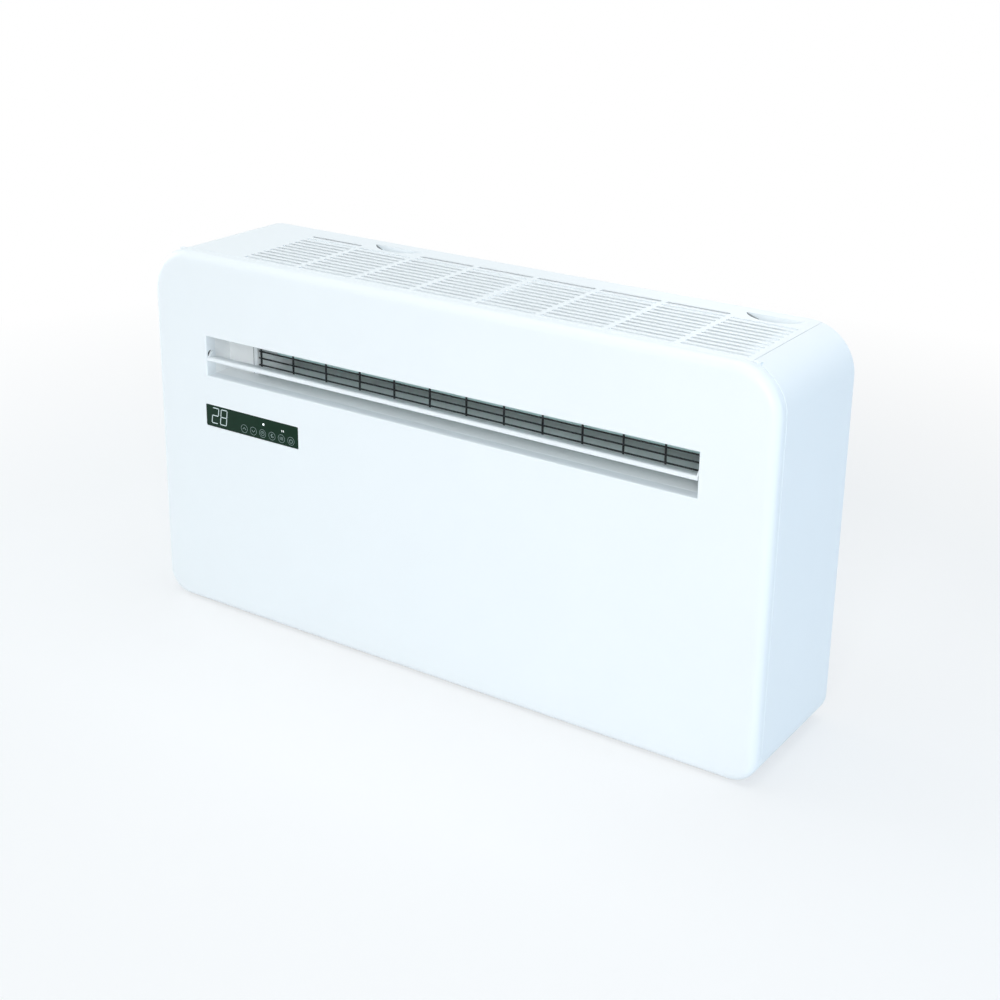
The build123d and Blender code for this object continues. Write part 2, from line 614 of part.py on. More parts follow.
# Air filters: two frames with their meshes, held under the grille
def air_filter(start_x, end_x, side):
    """Builds one filter's frame and mesh between two places along the grille."""
    length = end_x - start_x
    depth = FILTER_REAR_Y - FILTER_FRONT_Y
    middle = ((start_x + end_x) / 2, (FILTER_REAR_Y + FILTER_FRONT_Y) / 2)
    with BuildPart() as frame:
        with BuildSketch(Plane.XY.offset(GRILLE_UNDERSIDE - FILTER_THICKNESS)):
            with Locations(middle):
                RectangleRounded(length, depth, FILTER_BORDER / 2)
                Rectangle(length - 2 * FILTER_BORDER, depth - 2 * FILTER_BORDER, mode=Mode.SUBTRACT)
                bar_pitch = (length - FILTER_BORDER) / (FILTER_BARS + 1)
                with GridLocations(bar_pitch, 0, FILTER_BARS, 1):
                    Rectangle(FILTER_BAR, depth - FILTER_BORDER)
        extrude(amount=FILTER_THICKNESS)
    frame.part.label = "filter_frame_" + side
    with BuildPart() as mesh:
        with BuildSketch(Plane.XY.offset(GRILLE_UNDERSIDE - FILTER_THICKNESS - FILTER_MESH)):
            with Locations(middle):
                Rectangle(length - FILTER_BORDER, depth - FILTER_BORDER)
        extrude(amount=FILTER_MESH)
    mesh.part.label = "filter_mesh_" + side
    return [frame, mesh]


filter_middle = SLOT_LEFT + SLOT_COLUMNS / 2 * SLOT_PITCH_X - (SLOT_PITCH_X - SLOT_LENGTH) / 2
filters = [
    *air_filter(SLOT_LEFT - FILTER_BORDER, filter_middle - FILTER_RIB / 2, "left"),
    *air_filter(filter_middle + FILTER_RIB / 2, WIDTH / 2 - TOP_CORNER, "right"),
]


# Outlet housing: duct floor and scroll, ceiling with its tongue, end walls and the blank recess
scroll_radius = FAN_RADIUS + FAN_SCROLL_GAP + WALL / 2
scroll_y = FAN_Y + scroll_radius
floor_level = OUTLET_FLOOR - WALL / 2
ceiling_level = CEILING + WALL / 2
tongue_y = FAN_Y - FAN_RADIUS - TONGUE_GAP
scroll_top = coil_level(scroll_y - WALL, -COIL_THICKNESS / 2)
duct_length = DUCT_RIGHT_OUTER - DUCT_LEFT_OUTER
mouth_length = 2 * DUCT_RIGHT_OUTER
with BuildPart() as outlet_housing:
    with BuildSketch(Plane.YZ.offset(DUCT_LEFT_OUTER)):
        with BuildLine():
            floor_line = Line((JAMB_BACK + WALL / 2, floor_level), (FAN_Y, floor_level))
            bend = JernArc(floor_line @ 1, (1, 0), scroll_radius, 90)
            Line(bend @ 1, (scroll_y, scroll_top - WALL))
            offset(amount=WALL / 2)
        make_face()
    extrude(amount=duct_length)
    with BuildSketch(Plane.YZ.offset(-DUCT_RIGHT_OUTER)):
        with BuildLine():
            Polyline(
                (SKIN_Y + WALL / 2, ceiling_level),
                (tongue_y - TONGUE_DROP, ceiling_level),
                (tongue_y, ceiling_level - TONGUE_DROP),
            )
            offset(amount=WALL / 2)
        make_face()
    extrude(amount=mouth_length)
    with BuildSketch(Plane.YZ.offset(-DUCT_RIGHT_OUTER)):
        with Locations((JAMB_BACK, PARTITION_TOP)):
            Rectangle(GUARD_Y + WALL - JAMB_BACK, WALL, align=(Align.MIN, Align.MIN))
    extrude(amount=DUCT_LEFT_OUTER + DUCT_RIGHT_OUTER)
    with BuildSketch(Plane.YZ.offset(-DUCT_RIGHT_OUTER)):
        with Locations((JAMB_BACK, PARTITION_TOP)):
            side_size = (GUARD_Y + WALL - JAMB_BACK, CEILING + WALL - PARTITION_TOP)
            Rectangle(*side_size, align=(Align.MIN, Align.MIN))
    extrude(amount=WALL)
    with BuildSketch(Plane.XZ.offset(-GUARD_Y)):
        with Locations((-DUCT_RIGHT_OUTER, PARTITION_TOP)):
            blank_size = (DUCT_LEFT + DUCT_RIGHT_OUTER, CEILING + WALL - PARTITION_TOP)
            Rectangle(*blank_size, align=(Align.MIN, Align.MIN))
    extrude(amount=-WALL)
    end_top_front = (tongue_y, coil_level(tongue_y, -COIL_THICKNESS / 2))
    end_top_rear = (scroll_y, coil_level(scroll_y, -COIL_THICKNESS / 2))
    for wall_x, wall, wall_front in (
        (DUCT_LEFT_OUTER, DIVIDER, GUARD_Y),
        (DUCT_RIGHT, WALL, JAMB_BACK),
    ):
        with BuildSketch(Plane.YZ.offset(wall_x)):
            with BuildLine():
                Polyline(
                    (wall_front, PARTITION_TOP),
                    (scroll_y + WALL / 2, PARTITION_TOP),
                    (scroll_y + WALL / 2, end_top_rear[1]),
                    end_top_front,
                    (tongue_y, CEILING + WALL / 2),
                    (wall_front, CEILING + WALL / 2),
                    close=True,
                )
            make_face()
            with Locations((FAN_Y, FAN_Z)):
                Circle(BEARING_RADIUS, mode=Mode.SUBTRACT)
        extrude(amount=wall)
outlet_housing.part.label = "outlet_housing"


# Outlet guard: upright bars with three rods welded behind them
first_bar = DUCT_LEFT + GUARD_MARGIN
first_rod = OUTLET_FLOOR + GUARD_ROD_BASE
with BuildPart() as outlet_guard:
    with BuildSketch(Plane.XY.offset(OUTLET_FLOOR)):
        with Locations(*[(first_bar + i * GUARD_PITCH, GUARD_Y) for i in range(GUARD_BARS)]):
            Circle(GUARD_BAR_RADIUS)
    extrude(amount=CEILING - OUTLET_FLOOR)
    rod_y = GUARD_Y + GUARD_BAR_RADIUS
    with BuildSketch(Plane.YZ.offset(DUCT_LEFT)):
        with Locations(*[(rod_y, first_rod + i * GUARD_ROD_PITCH) for i in range(GUARD_RODS)]):
            Circle(GUARD_ROD_RADIUS)
    extrude(amount=DUCT_RIGHT - DUCT_LEFT)
outlet_guard.part.label = "outlet_guard"


# Flap: a curved vane below its axis, carried by an ear and a pin at each end
flap_half = OUTLET_HALF - FLAP_END_GAP
flap_tilt = math.radians(FLAP_REST_ANGLE)
flap_chord = (0, math.cos(flap_tilt), -math.sin(flap_tilt))
flap_plane = Plane(origin=(-flap_half, FLAP_Y, FLAP_Z), x_dir=flap_chord, z_dir=(1, 0, 0))
nose_radius = FLAP_THICKNESS / 2
nose_u = nose_radius - FLAP_NOSE
tail_half = FLAP_TAIL_THICKNESS / 2
middle_u = (nose_u + FLAP_TAIL) / 2
middle_half = (nose_radius + tail_half) / 2
upper_nose = (nose_u, nose_radius - FLAP_OFFSET)
lower_nose = (nose_u, -nose_radius - FLAP_OFFSET)
upper_tail = (FLAP_TAIL, tail_half - FLAP_OFFSET)
lower_tail = (FLAP_TAIL, -tail_half - FLAP_OFFSET)
upper_middle = (middle_u, FLAP_CAMBER + middle_half - FLAP_OFFSET)
lower_middle = (middle_u, FLAP_CAMBER - middle_half - FLAP_OFFSET)
pin_start = flap_half - FLAP_EAR
pin_end = OUTLET_HALF + WALL + BUSH_FLANGE
with BuildPart() as flap:
    with BuildSketch(flap_plane):
        with BuildLine():
            ThreePointArc(upper_nose, upper_middle, upper_tail)
            Line(upper_tail, lower_tail)
            ThreePointArc(lower_tail, lower_middle, lower_nose)
            ThreePointArc(lower_nose, (-FLAP_NOSE, -FLAP_OFFSET), upper_nose)
        make_face()
    extrude(amount=2 * flap_half)
    for ear_offset in (0, 2 * flap_half - FLAP_EAR):
        with BuildSketch(flap_plane.offset(ear_offset)) as ear:
            Circle(FLAP_EAR_RADIUS)
            with Locations((nose_u, -FLAP_OFFSET)):
                Circle(nose_radius)
            make_hull(ear.edges())
        extrude(amount=FLAP_EAR)
    for side in (-1, 1):
        with BuildSketch(Plane(origin=(side * pin_start, FLAP_Y, FLAP_Z), z_dir=(side, 0, 0))):
            Circle(FLAP_PIN_RADIUS)
        extrude(amount=pin_end - pin_start)
flap.part.label = "flap"


# Bushes in the jambs that the flap's pins turn in
with BuildPart() as flap_bushes:
    for bush_side in (-1, 1):
        bush_plane = Plane(origin=(bush_side * OUTLET_HALF, FLAP_Y, FLAP_Z), z_dir=(bush_side, 0, 0))
        with BuildSketch(bush_plane):
            Circle(BUSH_RADIUS)
        extrude(amount=WALL)
        with BuildSketch(bush_plane.offset(WALL)):
            Circle(BUSH_FLANGE_RADIUS)
        extrude(amount=BUSH_FLANGE)
        with BuildSketch(bush_plane):
            Circle(FLAP_PIN_RADIUS + RUNNING_GAP)
        extrude(amount=WALL + BUSH_FLANGE, mode=Mode.SUBTRACT)
flap_bushes.part.label = "flap_bushes"


# Flap motor: a small geared motor with its shaft off its middle, behind the left jamb
with BuildPart() as flap_motor:
    with BuildSketch(Plane.YZ.offset(-pin_end)):
        with Locations((FLAP_Y + FLAP_MOTOR_OFFSET, FLAP_Z)):
            Circle(FLAP_MOTOR_RADIUS)
    extrude(amount=-FLAP_MOTOR_LENGTH)
    fillet(flap_motor.faces().sort_by(Axis.X)[0].edges(), EDGE_EASE)
flap_motor.part.label = "flap_motor"


def blade_faces(centre, inner, outer, sweep, count):
    """Puts a ring of curved blade sections round the centre into the sketch that is open."""
    for index in range(count):
        start = 360 / count * index
        root = point_round(centre, inner, start)
        tip = point_round(centre, outer, start + sweep)
        middle = ((root[0] + tip[0]) / 2, (root[1] + tip[1]) / 2)
        chord = math.atan2(tip[1] - root[1], tip[0] - root[0])
        square = (math.sin(chord), -math.cos(chord))
        bulges = [BLADE_BULGE, BLADE_BULGE + BLADE_THICKNESS]
        peaks = [(middle[0] + bulge * square[0], middle[1] + bulge * square[1]) for bulge in bulges]
        with BuildLine() as section:
            ThreePointArc(root, peaks[0], tip)
            ThreePointArc(tip, peaks[1], root)
        make_face(section.edges())


# Cross-flow fan: blades along its whole length through a row of discs, a shaft at each end
fan_centre = (FAN_Y, FAN_Z)
fan_length = FAN_RIGHT - FAN_LEFT
with BuildPart() as cross_flow_fan:
    with BuildSketch(Plane.YZ.offset(FAN_LEFT)):
        blade_faces(
            fan_centre,
            FAN_RADIUS - FAN_BLADE_DEPTH,
            FAN_RADIUS - FAN_TIP,
            FAN_BLADE_SWEEP,
            FAN_BLADES,
        )
    extrude(amount=fan_length)
    for disc in range(FAN_DISCS):
        disc_x = FAN_LEFT + disc * (fan_length - FAN_DISC) / (FAN_DISCS - 1)
        with BuildSketch(Plane.YZ.offset(disc_x)):
            with Locations(fan_centre):
                Circle(FAN_RADIUS)
                if 0 < disc < FAN_DISCS - 1:
                    Circle(FAN_RADIUS - FAN_BLADE_DEPTH - WALL, mode=Mode.SUBTRACT)
        extrude(amount=FAN_DISC)
    with BuildSketch(Plane.YZ.offset(DUCT_LEFT_OUTER - MOTOR_BORE + WALL)):
        with Locations(fan_centre):
            Circle(FAN_SHAFT_RADIUS)
    extrude(amount=FAN_LEFT + FAN_HUB - DUCT_LEFT_OUTER + MOTOR_BORE - WALL)
    with BuildSketch(Plane.YZ.offset(FAN_LEFT)):
        with Locations(fan_centre):
            Circle(FAN_HUB)
    extrude(amount=FAN_HUB)
    with BuildSketch(Plane.YZ.offset(FAN_RIGHT - FAN_DISC)):
        with Locations(fan_centre):
            Circle(FAN_SHAFT_RADIUS)
    extrude(amount=DUCT_RIGHT + BEARING_LENGTH - WALL - FAN_RIGHT + FAN_DISC)
cross_flow_fan.part.label = "cross_flow_fan"


# Bearing of the cross-flow fan in the right end wall
with BuildPart() as fan_bearing:
    with BuildSketch(Plane.YZ.offset(DUCT_RIGHT)):
        with Locations(fan_centre):
            Circle(BEARING_RADIUS)
            Circle(FAN_SHAFT_RADIUS + RUNNING_GAP, mode=Mode.SUBTRACT)
    extrude(amount=BEARING_LENGTH)
    with BuildSketch(Plane.YZ.offset(DUCT_RIGHT_OUTER)):
        with Locations(fan_centre):
            Circle(BEARING_RADIUS + BEARING_FLANGE)
            Circle(FAN_SHAFT_RADIUS + RUNNING_GAP, mode=Mode.SUBTRACT)
    extrude(amount=WALL)
fan_bearing.part.label = "fan_bearing"


# Motor of the cross-flow fan, on a foot that stands on the partition
with BuildPart() as cross_flow_motor:
    with BuildSketch(Plane.YZ.offset(DUCT_LEFT_OUTER)):
        with Locations(fan_centre):
            Circle(FAN_MOTOR_RADIUS)
    extrude(amount=-FAN_MOTOR_LENGTH)
    fillet(cross_flow_motor.edges().filter_by(GeomType.CIRCLE), MOTOR_EDGE)
    with BuildSketch(Plane.XY.offset(PARTITION_TOP)):
        with Locations((DUCT_LEFT_OUTER - FAN_MOTOR_LENGTH / 2, FAN_Y)):
            Rectangle(FAN_MOTOR_LENGTH / 2, FAN_MOTOR_RADIUS)
    extrude(amount=FAN_Z - PARTITION_TOP)
    with BuildSketch(Plane.YZ.offset(DUCT_LEFT_OUTER)):
        with Locations(fan_centre):
            Circle(FAN_SHAFT_RADIUS + RUNNING_GAP)
    extrude(amount=-MOTOR_BORE, mode=Mode.SUBTRACT)
cross_flow_motor.part.label = "cross_flow_motor"


# Evaporator: an inclined block of fins between two end plates, with return bends on its tubes
coil_middle_x = (DUCT_LEFT_OUTER + DUCT_RIGHT_OUTER) / 2
coil_normal = (0, -math.sin(math.radians(coil_tilt)), math.cos(math.radians(coil_tilt)))
coil_plane = Plane(origin=(coil_middle_x, *coil_point(0)), x_dir=(1, 0, 0), z_dir=coil_normal)


def fin_block(label, plane, length, thickness, span):
    """Builds a coil: a row of fins on the web of its tubes, drawn across and carried along its span."""
    with BuildPart() as block:
        with BuildSketch(plane):
            Rectangle(length, 2 * TUBE_RADIUS)
            with GridLocations(FIN_PITCH, 0, int((length - FIN) / FIN_PITCH) + 1, 1):
                Rectangle(FIN, thickness)
        extrude(amount=span / 2, both=True)
    block.part.label = label
    return block


coil_slope = (0, coil_run[0] / coil_span, coil_run[1] / coil_span)
evaporator_section = Plane(origin=(coil_middle_x, *coil_point(0)), x_dir=(1, 0, 0), z_dir=coil_slope)
evaporator_size = (duct_length, COIL_THICKNESS, coil_span)
evaporator_coil = fin_block("evaporator_coil", evaporator_section, *evaporator_size)

with BuildPart() as evaporator_end_plates:
    with BuildSketch(coil_plane.offset(-COIL_THICKNESS / 2 - COIL_PLATE_RIM)):
        with GridLocations(duct_length + COIL_PLATE, 0, 2, 1):
            Rectangle(COIL_PLATE, coil_span)
    extrude(amount=COIL_THICKNESS + COIL_PLATE_RIM)
evaporator_end_plates.part.label = "evaporator_end_plates"


def return_bends(label, faces):
    """Builds a coil's return bends. Each face is its plane, the coil's span and the first tube."""
    with BuildPart() as bends:
        for plane, span, first in faces:
            pitch = span / COIL_TUBES
            for index in range(first, COIL_TUBES - 1, 2):
                middle = tube_offset(index, span) + pitch / 2
                with BuildSketch(plane):
                    with Locations((middle + pitch / 2, 0)):
                        Circle(TUBE_RADIUS)
                axis = Axis(plane.from_local_coords((middle, 0, 0)), plane.y_dir)
                revolve(axis=axis, revolution_arc=-180)
    bends.part.label = label
    return bends


coil_left_face = (DUCT_LEFT_OUTER - COIL_PLATE, *coil_point(0))
coil_right_face = (DUCT_RIGHT_OUTER + COIL_PLATE, *coil_point(0))
evaporator_bends = return_bends(
    "evaporator_bends",
    [
        (Plane(origin=coil_left_face, x_dir=coil_slope, z_dir=(-1, 0, 0)), coil_span, 0),
        (Plane(origin=coil_right_face, x_dir=coil_slope, z_dir=(1, 0, 0)), coil_span, 1),
    ],
)


# Drip tray under the evaporator's lower edge
with BuildPart() as drip_tray:
    with BuildSketch(Plane.XY.offset(CEILING + WALL)):
        with Locations((coil_middle_x, (TRAY_FRONT_Y + TRAY_REAR_Y) / 2)):
            tray_length = duct_length + 2 * COIL_PLATE + 2 * COIL_PLATE_RIM + 2 * SHEET
            Rectangle(tray_length, TRAY_REAR_Y - TRAY_FRONT_Y)
    extrude(amount=TRAY_HEIGHT)
    offset(amount=-SHEET, openings=drip_tray.faces().sort_by(Axis.Z)[-1])
drip_tray.part.label = "drip_tray"


# Wall duct rings: collars that hold the two ducts through the wall
def duct_ring(label, ring_x):
    """Builds one collar round the duct's axis."""
    with BuildPart() as ring:
        with BuildSketch(Plane.XY.offset(DUCT_LEVEL)):
            with Locations((ring_x + DUCT_RADIUS, BACK)):
                Rectangle(DUCT_WALL, DUCT_LENGTH, align=(Align.MIN, Align.MAX))
            with Locations((ring_x + DUCT_RADIUS, PLATE_BACK)):
                Rectangle(DUCT_WALL + DUCT_FLANGE, DUCT_WALL, align=(Align.MIN, Align.MIN))
        revolve(axis=Axis((ring_x, 0, DUCT_LEVEL), (0, 1, 0)))
    ring.part.label = label
    return ring


intake_duct_ring = duct_ring("intake_duct_ring", DUCT_PITCH / 2)
exhaust_duct_ring = duct_ring("exhaust_duct_ring", -DUCT_PITCH / 2)


# Condenser: an upright block of fins in front of the intake, between plates that stand on the pan
condenser_middle_z = CONDENSER_BASE + CONDENSER_HEIGHT / 2
condenser_section = Plane(origin=(CONDENSER_X, CONDENSER_Y, condenser_middle_z))
condenser_size = (CONDENSER_LENGTH, CONDENSER_THICKNESS, CONDENSER_HEIGHT)
condenser_coil = fin_block("condenser_coil", condenser_section, *condenser_size)

with BuildPart() as condenser_end_plates:
    with BuildSketch(Plane.XY.offset(SHEET)):
        with Locations((CONDENSER_X, CONDENSER_Y)):
            with GridLocations(CONDENSER_LENGTH + COIL_PLATE, 0, 2, 1):
                Rectangle(COIL_PLATE, CONDENSER_THICKNESS)
    extrude(amount=PARTITION_BOTTOM - SHEET)
condenser_end_plates.part.label = "condenser_end_plates"

condenser_half = CONDENSER_LENGTH / 2 + COIL_PLATE
condenser_left_face = (CONDENSER_X - condenser_half, CONDENSER_Y, condenser_middle_z)
condenser_right_face = (CONDENSER_X + condenser_half, CONDENSER_Y, condenser_middle_z)
condenser_bends = return_bends(
    "condenser_bends",
    [
        (Plane(origin=condenser_left_face, x_dir=(0, 0, 1), z_dir=(-1, 0, 0)), CONDENSER_HEIGHT, 0),
        (Plane(origin=condenser_right_face, x_dir=(0, 0, 1), z_dir=(1, 0, 0)), CONDENSER_HEIGHT, 1),
    ],
)


# Condenser fan housing: a scroll that blows into the exhaust duct
blower_centre = (BLOWER_Y, DUCT_LEVEL + BLOWER_RISE)
mouth_bottom = DUCT_LEVEL - BLOWER_MOUTH / 2
mouth_top = DUCT_LEVEL + BLOWER_MOUTH / 2
blower_left = BLOWER_X - BLOWER_WIDTH / 2
with BuildPart() as condenser_fan_housing:
    with BuildSketch(Plane.YZ.offset(blower_left)) as scroll:
        with BuildLine():
            upper_sweep = 180 - BLOWER_TONGUE_ANGLE
            upper_arc = CenterArc(blower_centre, BLOWER_RADIUS, BLOWER_TONGUE_ANGLE, upper_sweep)
            lower_arc = JernArc(upper_arc @ 1, (0, -1), blower_centre[1] - mouth_bottom, 90)
            Polyline(lower_arc @ 1, (BLOWER_MOUTH_Y, mouth_bottom), (BLOWER_MOUTH_Y, mouth_top), upper_arc @ 0)
        make_face()
    extrude(amount=BLOWER_WIDTH)
    with BuildSketch(Plane.YZ.offset(blower_left)):
        with Locations((BLOWER_Y, SHEET)):
            foot_size = (BLOWER_RADIUS, mouth_bottom + 2 * WHEEL_PLATE + BLOWER_RISE)
            Rectangle(*foot_size, align=(Align.CENTER, Align.MIN))
    extrude(amount=BLOWER_WIDTH)
    with BuildSketch(Plane.YZ.offset(blower_left + BLOWER_WALL)):
        with Locations((BLOWER_Y, SHEET)):
            Rectangle(*foot_size, align=(Align.CENTER, Align.MIN))
    extrude(amount=BLOWER_WIDTH - 2 * BLOWER_WALL, mode=Mode.SUBTRACT)
    with BuildSketch(Plane.YZ.offset(blower_left)):
        add(scroll.sketch_local)
    extrude(amount=BLOWER_WIDTH)
    with BuildSketch(Plane.YZ.offset(blower_left + BLOWER_WALL)):
        add(scroll.sketch_local)
        offset(amount=-BLOWER_WALL)
        with Locations((BLOWER_MOUTH_Y, DUCT_LEVEL)):
            mouth_size = (2 * BLOWER_WALL, BLOWER_MOUTH - 2 * BLOWER_WALL)
            Rectangle(*mouth_size, align=(Align.MAX, Align.CENTER))
    extrude(amount=BLOWER_WIDTH - 2 * BLOWER_WALL, mode=Mode.SUBTRACT)
    with BuildSketch(Plane.YZ.offset(BLOWER_X)):
        with Locations(blower_centre):
            Circle(BLOWER_INLET)
    extrude(amount=BLOWER_WIDTH, mode=Mode.SUBTRACT)
    with BuildSketch(Plane.YZ.offset(BLOWER_X)):
        with Locations(blower_centre):
            Circle(FAN_HUB)
    extrude(amount=-BLOWER_WIDTH, mode=Mode.SUBTRACT)
condenser_fan_housing.part.label = "condenser_fan_housing"


# Condenser fan wheel: a back plate, a rim and forward-curved blades
wheel_left = blower_left + BLOWER_WALL + 2 * WALL
with BuildPart() as condenser_fan_wheel:
    with BuildSketch(Plane.YZ.offset(wheel_left)):
        blade_faces(
            blower_centre,
            WHEEL_INNER_RADIUS,
            WHEEL_RADIUS - FAN_TIP,
            WHEEL_BLADE_SWEEP,
            WHEEL_BLADES,
        )
    extrude(amount=WHEEL_WIDTH)
    with BuildSketch(Plane.YZ.offset(wheel_left)):
        with Locations(blower_centre):
            Circle(WHEEL_RADIUS)
    extrude(amount=WHEEL_PLATE)
    with BuildSketch(Plane.YZ.offset(wheel_left + WHEEL_WIDTH - WHEEL_PLATE)):
        with Locations(blower_centre):
            Circle(WHEEL_RADIUS)
            Circle(WHEEL_INNER_RADIUS - WHEEL_PLATE, mode=Mode.SUBTRACT)
    extrude(amount=WHEEL_PLATE)
    with BuildSketch(Plane.YZ.offset(wheel_left)):
        with Locations(blower_centre):
            Circle(FAN_HUB)
    extrude(amount=2 * FAN_HUB)
    with BuildSketch(Plane.YZ.offset(blower_left - MOTOR_BORE + WALL)):
        with Locations(blower_centre):
            Circle(FAN_SHAFT_RADIUS)
    extrude(amount=wheel_left - blower_left + MOTOR_BORE)
condenser_fan_wheel.part.label = "condenser_fan_wheel"


# Condenser fan motor on the scroll's closed side
with BuildPart() as condenser_fan_motor:
    with BuildSketch(Plane.YZ.offset(blower_left)):
        with Locations(blower_centre):
            Circle(BLOWER_MOTOR_RADIUS)
    extrude(amount=-BLOWER_MOTOR_LENGTH)
    fillet(condenser_fan_motor.edges().filter_by(GeomType.CIRCLE), MOTOR_EDGE)
    with BuildSketch(Plane.YZ.offset(blower_left)):
        with Locations(blower_centre):
            Circle(FAN_SHAFT_RADIUS + RUNNING_GAP)
    extrude(amount=-MOTOR_BORE, mode=Mode.SUBTRACT)
condenser_fan_motor.part.label = "condenser_fan_motor"


def domed_can(place, base, top, radius, dome):
    """Builds a can with rounded ends on an upright axis."""
    with BuildPart() as can:
        with BuildSketch(Plane.XY.offset(base)):
            with Locations(place):
                Circle(radius)
        extrude(amount=top - base)
        fillet(can.edges().filter_by(GeomType.CIRCLE), dome)
    return can


# Compressor on three rubber mounts, with its accumulator beside it
with BuildPart() as compressor_mounts:
    with BuildSketch(Plane.XY.offset(SHEET)):
        with Locations(compressor_place):
            with PolarLocations(MOUNT_CIRCLE, MOUNT_COUNT, start_angle=180):
                Circle(MOUNT_RADIUS)
    extrude(amount=MOUNT_HEIGHT)
compressor_mounts.part.label = "compressor_mounts"

compressor_size = (COMPRESSOR_BASE, COMPRESSOR_TOP, COMPRESSOR_RADIUS, COMPRESSOR_DOME)
with BuildPart() as compressor:
    add(domed_can(compressor_place, *compressor_size).part)
    with BuildSketch(Plane.XY.offset(COMPRESSOR_BASE - COMPRESSOR_FOOT)) as foot:
        with Locations(compressor_place):
            with PolarLocations(MOUNT_CIRCLE, MOUNT_COUNT, start_angle=180):
                Circle(MOUNT_RADIUS + SHEET)
        make_hull(foot.edges())
    extrude(amount=COMPRESSOR_FOOT)
    with BuildSketch(Plane.XY.offset(COMPRESSOR_BASE)):
        with Locations(compressor_place):
            Circle(COMPRESSOR_RADIUS - COMPRESSOR_DOME / 2)
    extrude(amount=COMPRESSOR_DOME)
    for band_z in (COMPRESSOR_BASE + 2 * COMPRESSOR_DOME, COMPRESSOR_TOP - 2 * COMPRESSOR_DOME):
        with BuildSketch(Plane.XY.offset(band_z)):
            with Locations(compressor_place):
                Circle(COMPRESSOR_RADIUS + COMPRESSOR_BAND)
        extrude(amount=COMPRESSOR_BAND_HEIGHT)
compressor.part.label = "compressor"

accumulator_top = ACCUMULATOR_BASE + ACCUMULATOR_HEIGHT
accumulator_size = (ACCUMULATOR_BASE, accumulator_top, ACCUMULATOR_RADIUS, ACCUMULATOR_DOME)
accumulator = domed_can(accumulator_place, *accumulator_size)
accumulator.part.label = "accumulator"


def pipe(label, route, bend):
    """Builds a pipe of straight runs joined by round bends."""
    with BuildPart() as tube:
        with BuildLine() as path:
            FilletPolyline(*route, radius=bend)
        with BuildSketch(Plane(origin=path.line @ 0, z_dir=path.line % 0)):
            Circle(PIPE_RADIUS)
        sweep(path=path.line)
    tube.part.label = label
    return tube


coil_outside = DUCT_RIGHT_OUTER + COIL_PLATE
condenser_outside = CONDENSER_X + condenser_half
discharge_pipe = pipe(
    "discharge_pipe",
    [
        (*compressor_place, COMPRESSOR_TOP),
        (*compressor_place, DISCHARGE_Z),
        (COMPRESSOR_X, CONDENSER_Y, DISCHARGE_Z),
        (condenser_outside, CONDENSER_Y, DISCHARGE_Z),
    ],
    PIPE_BEND,
)
suction_cross_z = (accumulator_top + PARTITION_BOTTOM) / 2
suction_pipe = pipe(
    "suction_pipe",
    [
        (coil_outside, *suction_port),
        (accumulator_place[0], *suction_port),
        (accumulator_place[0], suction_port[0], suction_cross_z),
        (*accumulator_place, suction_cross_z),
        (*accumulator_place, accumulator_top),
    ],
    PIPE_BEND,
)
inlet_place = point_round(compressor_place, COMPRESSOR_RADIUS, ACCUMULATOR_ANGLE)
inlet_z = ACCUMULATOR_BASE - SUCTION_DROP
inlet_pipe = pipe(
    "inlet_pipe",
    [
        (*accumulator_place, ACCUMULATOR_BASE),
        (*accumulator_place, inlet_z),
        (*inlet_place, inlet_z),
    ],
    SUCTION_BEND,
)
liquid_z = condenser_middle_z + tube_offset(0, CONDENSER_HEIGHT)
liquid_pipe = pipe(
    "liquid_pipe",
    [
        (condenser_outside, CONDENSER_Y, liquid_z),
        (LIQUID_X, CONDENSER_Y, liquid_z),
        (LIQUID_X, CONDENSER_Y, liquid_port[1]),
        (LIQUID_X, *liquid_port),
        (coil_outside, *liquid_port),
    ],
    PIPE_BEND,
)


# Control box: an open-fronted box hung under the partition, its lid, board and terminal block
box_back_y = BOX_FRONT_Y + BOX_DEPTH
box_middle_z = PARTITION_BOTTOM - BOX_HEIGHT / 2
box_floor = PARTITION_BOTTOM - BOX_HEIGHT + BOX_WALL
with BuildPart() as control_box:
    with BuildSketch(Plane.XZ.offset(-box_back_y)):
        with Locations((BOX_X, box_middle_z)):
            Rectangle(BOX_LENGTH, BOX_HEIGHT)
    extrude(amount=BOX_DEPTH)
    offset(amount=-BOX_WALL, openings=control_box.faces().sort_by(Axis.Y)[0])
control_box.part.label = "control_box"

with BuildPart() as control_box_lid:
    with BuildSketch(Plane.XZ.offset(-BOX_FRONT_Y)):
        with Locations((BOX_X, box_middle_z)):
            Rectangle(BOX_LENGTH, BOX_HEIGHT)
    extrude(amount=BOX_WALL)
control_box_lid.part.label = "control_box_lid"

